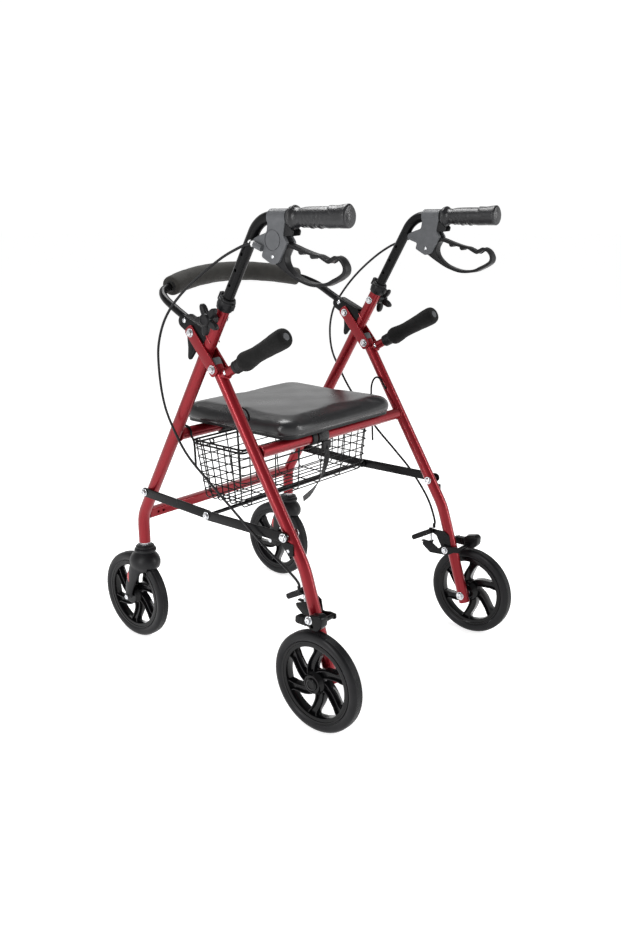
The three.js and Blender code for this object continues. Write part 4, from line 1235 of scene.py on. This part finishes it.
def hand_grips():
    """The moulded grip from its front end back, with a hollow round the tube and a flat end cap."""
    sides = 72
    length = 126.5
    front_y = -196.6
    steps = [0, 0.6, 1.4] + [s for s in (2.4 + 1.3 * k for k in range(93)) if s < length - 3]
    steps += [length - 2.4, length - 1.2, length - 0.4, length]
    turns = [2 * math.pi * k / sides for k in range(sides)]

    def around(y, radii):
        return [Vector((SIDE_X + r * math.sin(turn), y, GRIP_Z + r * math.cos(turn)))
                for r, turn in zip(radii, turns)]

    rings = [around(front_y + push, [r] * sides) for r, push in ((11.2, -2.2), (12.4, -0.2))]
    for s in steps:
        ease = 1.0
        if s < 1.4:
            ease = 0.93 + 0.05 * s
        if s > length - 2.5:
            ease = 1 - 0.16 * ((s - length + 2.5) / 2.5) ** 2
        rings.append(around(front_y - s, [grip_radius(s, turn) * ease for turn in turns]))
    rings += [around(front_y - length + push, [r] * sides) for r, push in ((11.0, 0.1), (9.4, -1.1))]
    shape = loft(rings)
    shape.faces = [face[::-1] for face in shape.faces]
    make_pair("grip", shape, RUBBER, "handle_{s}", ["hand_grip_{s}"], 60)


def brake_housings():
    """The grey brake body round the handle tube, the cable adjuster and the lever's pin."""
    nozzle = Vector((SIDE_X + 16, -121, 890.2))
    outline = rounded([(-152, 938), (-192, 938), (-191, 926), (-187, 906), (-196, 894), (-176, 860),
                       (-160, 856), (-135, 869), (-139, 881), (-120, 887), (-113, 893), (-116, 900),
                       (-128, 905), (-148, 911)], 4)
    shell = plate(outline, SIDE_X - 13.5, SIDE_X + 13.5, 1.4, steps=3)
    sleeve = turned([(0, 0), (14.4, 0), (15, 0.8), (15, 42), (14.4, 42.8), (0, 42.8)],
                    (SIDE_X, -149, GRIP_Z), (0, -1, 0), 48)
    shell = combine(shell, [sleeve], "UNION")
    clear = tube(handle_line(), HANDLE_R + 0.4, 28)
    slot = box(SIDE_X - 7, SIDE_X + 7, -232, -149, 838, 906, 0)
    shell = combine(shell, [clear, slot])
    groove = turned([(16.6, 12.4), (18.4, 12.4), (18.4, 14.6), (16.6, 14.6), (16.6, 12.4)],
                    (SIDE_X, -162.5, 898), X_AXIS, 48)
    shell = combine(shell, [groove])
    web = rounded([(-178, 932), (-199, 922), (-208, 914), (-206, 906), (-186, 904), (-176, 904)], 2)
    shell.put(cheeks(web, 7.4, 11.6, 1.0), 1)
    shell.put(tube([(SIDE_X + 16, -140, 883.3), nozzle], 5.8, 28, round_end=1.0))
    make_pair("housing", shell, [GREY, PLASTIC], "handle_{s}", ["brake_housing_{s}"])
    way = Vector((0, 19, 6.9)).normalized()
    screw = turned([(0, 0), (4.8, 0), (5.2, 0.4), (5.2, 4.6), (4.8, 5), (3.1, 5), (3.1, 9.6), (3.9, 10),
                    (3.9, 12.4), (3.4, 13), (0, 13)], nozzle, way, 24)
    for k in range(12):
        turn = 2 * math.pi * k / 12
        out = X_AXIS * math.cos(turn) + way.cross(X_AXIS) * math.sin(turn)
        screw.put(tube([nozzle + way * 0.8 + out * 5.1, nozzle + way * 4.2 + out * 5.1], 0.5, 6))
    make_pair("adjuster", screw, WHITE, "handle_{s}")
    pin = bolt_pair(dome_bolt, yz(LEVER_PIVOT), 13.4, 3.4, 1.4)
    pin.put(rod(LEVER_PIVOT, SIDE_X - 10, SIDE_X + 10, 3.1))
    make_pair("lever_pin", pin, STEEL, "handle_{s}")


def brake_levers():
    """A thin loop round its pivot, with a bead along each edge and two finger bumps inside."""
    outer = [(-153, 866), (-157, 880), (-167, 890), (-182, 894), (-194, 893), (-222, 884.5),
             (-250, 877.5), (-263, 875.5), (-273, 871.5), (-283, 867.5), (-291, 871.5), (-300, 874.5),
             (-312, 869), (-320, 857), (-319, 846), (-309, 837.5), (-296, 831), (-277, 824), (-246, 822),
             (-215, 830), (-192, 841), (-168, 855)]
    inner = [(-186, 869), (-190, 881), (-197, 885.5), (-208, 883.5), (-222, 879.3), (-250, 872.8),
             (-262, 870.6), (-272, 866), (-283, 862.2), (-292, 866.5), (-300, 869.5), (-308, 865.5),
             (-314, 857), (-313, 848.5), (-304, 842), (-292, 836.5), (-276, 829.8), (-247, 828),
             (-217, 835.5), (-199, 846), (-189, 857)]
    shape = plate(smooth_loop(outer, 5), SIDE_X - 8.4, SIDE_X + 8.4, 1.0,
                  [smooth_loop(inner, 5), ring(yz(LEVER_PIVOT), 3.9, 20)], 2)
    for y, z in ((-221, 879.0), (-247, 872.8)):
        bump = smooth_loop([(y + 5, z + 3), (y - 5, z + 0.5), (y - 4, z - 3.6), (y + 1, z - 4.6),
                            (y + 4.6, z - 2)], 4)
        shape.put(plate(bump, SIDE_X - 7, SIDE_X + 7, 0.9))
    for x in (SIDE_X + 8.2, SIDE_X - 8.2):
        for loop in (outer, inner):
            inset = 1.3 if loop is outer else -1.3
            centre = Vector((sum(p[0] for p in loop) / len(loop), sum(p[1] for p in loop) / len(loop)))
            edge = [Vector(p) + (centre - Vector(p)).normalized() * inset for p in smooth_loop(loop, 5)]
            shape.put(tube([(x, y, z) for y, z in edge], 0.9, 8, closed=True))
    make_pair("lever", shape, PLASTIC, "brake_lever_{s}", ["brake_lever_{s}"])


# ---- wheels -----------------------------------------------------------------------------
def tyre(at):
    """A turned tyre with seven raised lines on its tread."""
    profile = [(82.1, -10.6), (84, -12.0), (88, -12.9), (92, -12.9), (95.4, -12.0), (97.4, -10.6),
               (98.6, -9.0)]
    for k in range(7):
        s = -7.6 + k * 2.4
        r = 99.9 if abs(s + 0.4) < 6.5 else 99.5
        profile += [(r - 0.1, s - 0.75), (r, s - 0.3), (r, s + 0.3), (r - 0.1, s + 0.75), (r - 0.75, s + 1.2)]
    profile = profile[:-1]
    profile += [(98.6, 9.0), (97.4, 10.6), (95.4, 12.0), (92, 12.9), (88, 12.9), (84, 12.0), (82.1, 10.6),
                (82.1, -10.6)]
    return turned(profile, at, X_AXIS, 96)


def spoke(at, start_angle, inner_r, outer_r):
    """A curved spoke with a raised rib along each edge."""
    twist = 0.62
    steps = 16
    web = 3.2
    rib = 2.4
    rings = []
    for k in range(steps + 1):
        t = k / steps
        r = inner_r + (outer_r - inner_r) * t
        a = start_angle + twist * math.sin(t * math.pi / 2)
        outward = Vector((0, math.cos(a), math.sin(a)))
        da = twist * math.pi / 2 * math.cos(t * math.pi / 2) * r / (outer_r - inner_r)
        along = (outward + Vector((0, -math.sin(a), math.cos(a))) * da).normalized()
        side = Vector((0, -along.z, along.y))
        half = 7.6 + 2.2 * (1 - t) ** 2 + 4.2 * smooth_step(0.72, 1.0, t)
        deep = 9.2 - 1.2 * t
        edge = half - rib
        foot = edge - 1.6
        top = [(half, deep - 1), (half - 0.7, deep), (edge, deep), (edge - 0.9, deep - 1), (foot, web)]
        loop = [(-half, -deep + 1), *((-u, x) for u, x in top), *reversed(top), (half, -deep + 1),
                (edge, -deep), (foot, -web), (-foot, -web), (-edge, -deep)]
        rings.append([Vector(at) + outward * r + side * u + X_AXIS * x for u, x in loop])
    return loft(rings)


def wheel_centre(at, outer_face):
    """Rim, six double-ribbed spokes and a hub with a ringed cap on its outer face."""
    rim = [(70.4, -8.2), (71, -9.8), (72.4, -10.4), (77, -10.4), (77.8, -11.6), (81.4, -11.6), (81.7, -11),
           (81.7, 11), (81.4, 11.6), (77.8, 11.6), (77, 10.4), (72.4, 10.4), (71, 9.8), (70.4, 8.2),
           (69.6, 4), (69.6, -4), (70.4, -8.2)]
    shape = turned(rim, at, X_AXIS, 96)
    hub = [(5.6, -18), (14, -18), (15.4, -17.4), (16, -16), (20, -13), (23, -10), (24, -7), (24, 7), (23, 10),
           (20, 13), (18.6, 16), (18, 17.6), (16.6, 18)]
    if outer_face:
        hub += [(15, 18), (14.6, 16.8), (12.6, 16.8), (12.2, 18.6), (11.6, 20), (10.4, 20.8), (8, 21.2),
                (7.4, 20), (0, 19.4)]
    else:
        hub += [(14, 18), (10, 18), (5.6, 18), (5.6, -18)]
    shape.put(turned(hub, at, X_AXIS, 64))
    for k in range(6):
        shape.put(spoke(at, k * math.pi / 3, 19, 72.5))
    return shape


def wheels():
    for end, body, axle, capped in (("back", "rear", REAR_AXLE, True), ("ahead", "front", FRONT_AXLE, False)):
        make_pair(f"tyre_{end}", tyre(axle), TYRE, body + "_wheel_{s}",
                  [f"tyre_{body}_{{s}}"], 40)
        make_pair(f"wheel_{end}", wheel_centre(axle, capped), GLOSSY, body + "_wheel_{s}",
                  [f"wheel_{body}_{{s}}"])


def ellipsoid(centre, radii):
    """A ball stretched to three radii."""
    turns = [math.pi * k / 24 for k in range(1, 24)]
    ball = turned([(0, -1), *((math.sin(turn), -math.cos(turn)) for turn in turns), (0, 1)],
                  (0, 0, 0), Z_AXIS, 36)
    for vert in ball.verts:
        vert.x, vert.y, vert.z = (centre[i] + vert[i] * radii[i] for i in range(3))
    return ball


def caster_forks():
    """A moulded fork with its collar, the bearing and stem above it, and a red insert on each leg."""
    y0, y1 = STEM.y, FRONT_AXLE.y
    head = ellipsoid((SIDE_X, y0 + 3, 189), (33, 38, 29))
    neck = turned([(0, 190), (20, 190), (20, 214), (0, 216)], (SIDE_X, y0, 0), Z_AXIS, 40)
    spine = smooth_path([(0, y0 + 2, 192), (0, y0 + 12, 172), (0, y0 + 22, 152), (0, y1 - 7, 130),
                         (0, y1 - 2, 112), (0, y1, 100), (0, y1, 97)], 4)
    radii = [19 - 7.2 * smooth_step(0, 0.75, k / (len(spine) - 1)) for k in range(len(spine))]
    leg = tube(spine, radii, 32, round_end=8)
    legs = [Shape().put(leg, move=Matrix.Translation((SIDE_X + way * 23.6, 0, 0))
                        @ Matrix.Diagonal((0.4, 1, 1, 1))) for way in (1, -1)]
    room = rod(FRONT_AXLE, SIDE_X - 18.6, SIDE_X + 18.6, WHEEL_R + 5, 72)
    solid = Shape()
    for part in (head, neck, *legs):
        solid.put(part)
    solid = combine(moulded(solid, 2.0, 12), [room])
    collar = turned([(0, 212), (20, 212), (23.4, 214.4), (24.6, 217), (24.4, 220), (22.6, 222), (19.6, 223),
                     (19.2, 224.4), (20.6, 225.2), (20.6, 227), (19.4, 228.2), (12, 229), (0, 229)],
                    (SIDE_X, y0, 0), Z_AXIS, 56)
    solid.put(collar)
    make_pair("fork", solid, PLASTIC, "caster_{s}", ["caster_fork_{s}"], 50)
    metal = turned([(0, 229.2), (11.2, 229.2), (11.6, 230.4), (11.6, 232.4), (9.4, 233.2), (9.4, 235.4),
                    (8, 235.4), (8, 262), (0, 262)], (SIDE_X, y0, 0), Z_AXIS, 36)
    metal.put(bolt_pair(hex_bolt, yz(FRONT_AXLE), 28.2, 6.4, 4.0, False))
    metal.put(rod(FRONT_AXLE, SIDE_X - 28, SIDE_X + 28, 4.5))
    make_pair("caster_metal", metal, STEEL, "caster_{s}")
    drop = smooth_loop([(y0 + 29, 165), (y0 + 33, 158), (y0 + 34, 149), (y0 + 30, 140), (y0 + 25, 143),
                        (y0 + 24, 154)], 5)
    make_pair("fork_insert", cheeks(drop, 26, 29.4, 0.7), INSERT, "caster_{s}")


# ---- brake cables -----------------------------------------------------------------------
CABLE_LEFT = [
    (-256, -113.8, 892.8), (-259, -84, 883), (-261, -30, 858), (-268, 54, 802), (-272, 105, 751),
    (-272, 132, 696), (-270, 138, 642), (-270, 129, 581), (-270, 108, 534), (-272, 62, 478),
    (-273, -6, 430), (-273, -98, 368), (-266, -150, 326), (-248, -182, 290), (-236, -202, 262),
    (-235, -205, 245.5)]
CABLE_RIGHT = [
    (256, -113.8, 892.8), (259, -84, 885), (262, -45, 872), (268, 4, 846), (272, 58, 806),
    (272, 100, 762), (272, 128, 720), (270, 137, 672), (270, 130, 620), (270, 104, 574),
    (270, 66, 522), (272, -2, 450), (273, -61, 400), (273, -112, 356), (254, -171, 307),
    (238, -203, 265), (235, -205, 245.5)]
CABLE_SPLIT = 7                 # the point of the route where the cable is split in two
CABLE_R = 2.5


def cables():
    """Each cable in two halves split at one point of its route, and a sleeve at each end."""
    steps = 8
    cut = CABLE_SPLIT * steps
    for s, line in (("l", CABLE_LEFT), ("r", CABLE_RIGHT)):
        path = smooth_path(line, steps)
        upper = make(f"cable_top_{s}", tube(path[:cut + 1], CABLE_R, 14), PLASTIC, None,
                     [f"cable_upper_{s}"])
        lower = make(f"cable_end_{s}", tube(path[cut:], CABLE_R, 14), PLASTIC, None,
                     [f"cable_lower_{s}"])
        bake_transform(upper)
        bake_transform(lower)
        top = turned([(0, -1), (3.6, -1), (3.6, 9), (3.0, 12), (2.4, 12.4), (0, 12.4)], line[0],
                     Vector(line[1]) - Vector(line[0]), 20)
        make(f"cable_sleeve_{s}", top, PLASTIC, f"handle_{s}")
        foot = turned([(0, -1), (3.4, -1), (3.4, 8), (2.9, 10), (0, 10)], line[-1],
                      Vector(line[-2]) - Vector(line[-1]), 20)
        make(f"cable_foot_{s}", foot, PLASTIC, "rear_frame")


front_uprights()
cross_tubes()
height_collars()
star_knobs()
back_brackets()
frame_bolts()
rear_legs()
lift_grips()
rear_brakes()
rear_axles()
braces()
seat()
tube_clips()
pull_strap()
basket()
basket_hangers()
backrest()
handle_tubes()
hand_grips()
brake_housings()
brake_levers()
wheels()
caster_forks()
cables()


# ---- floor and light --------------------------------------------------------------------
def set_stage():
    """A white floor that keeps only the contact shadows, and a sky that is white low down."""
    material, tree, shader = node_set("floor")
    shader.inputs["Base Color"].default_value = (0.8, 0.8, 0.8, 1)
    shader.inputs["Roughness"].default_value = 0.95
    shader.inputs["Specular IOR Level"].default_value = 0.0
    shader.inputs["Emission Color"].default_value = (1, 1, 1, 1)
    shader.inputs["Emission Strength"].default_value = 0.68
    mesh = bpy.data.meshes.new("floor")
    size = 40.0
    mesh.from_pydata([(-size, -size, 0), (size, -size, 0), (size, size, 0), (-size, size, 0)], [],
                     [(0, 1, 2, 3)])
    mesh.materials.append(material)
    floor = link("floor", mesh)
    world = bpy.data.worlds.new("studio")
    world.use_nodes = True
    tree = world.node_tree
    background = tree.nodes["Background"]
    place = tree.nodes.new("ShaderNodeTexCoord")
    split = tree.nodes.new("ShaderNodeSeparateXYZ")
    tree.links.new(place.outputs["Generated"], split.inputs["Vector"])
    sky = ramp(tree, split.outputs["Z"], 0.24, 0.5, (1.02, 1.02, 1.02), (0.3, 0.3, 0.3))
    tree.links.new(sky, background.inputs["Color"])
    background.inputs["Strength"].default_value = 1.0
    bpy.context.scene.world = world
    bpy.context.scene.view_settings.view_transform = "Standard"


def area_light(name, at, target, size, power):
    """A rectangular lamp in metres and watts, turned to its target."""
    data = bpy.data.lights.new(name, "AREA")
    data.shape = "RECTANGLE"
    data.size, data.size_y = size
    data.energy = power
    light = link(name, data)
    light.location = at
    way = Vector(target) - Vector(at)
    light.rotation_euler = way.to_track_quat("-Z", "Y").to_euler()


set_stage()
area_light("overhead", (0.4, 0.9, 2.8), (0, 0, 0.4), (1.2, 1.2), 50)
area_light("left_wall", (-2.6, 0.2, 1.4), (0, 0, 0.5), (0.35, 2.2), 34)
area_light("right_wall", (1.6, -2.6, 1.4), (0, 0, 0.5), (0.35, 2.2), 34)
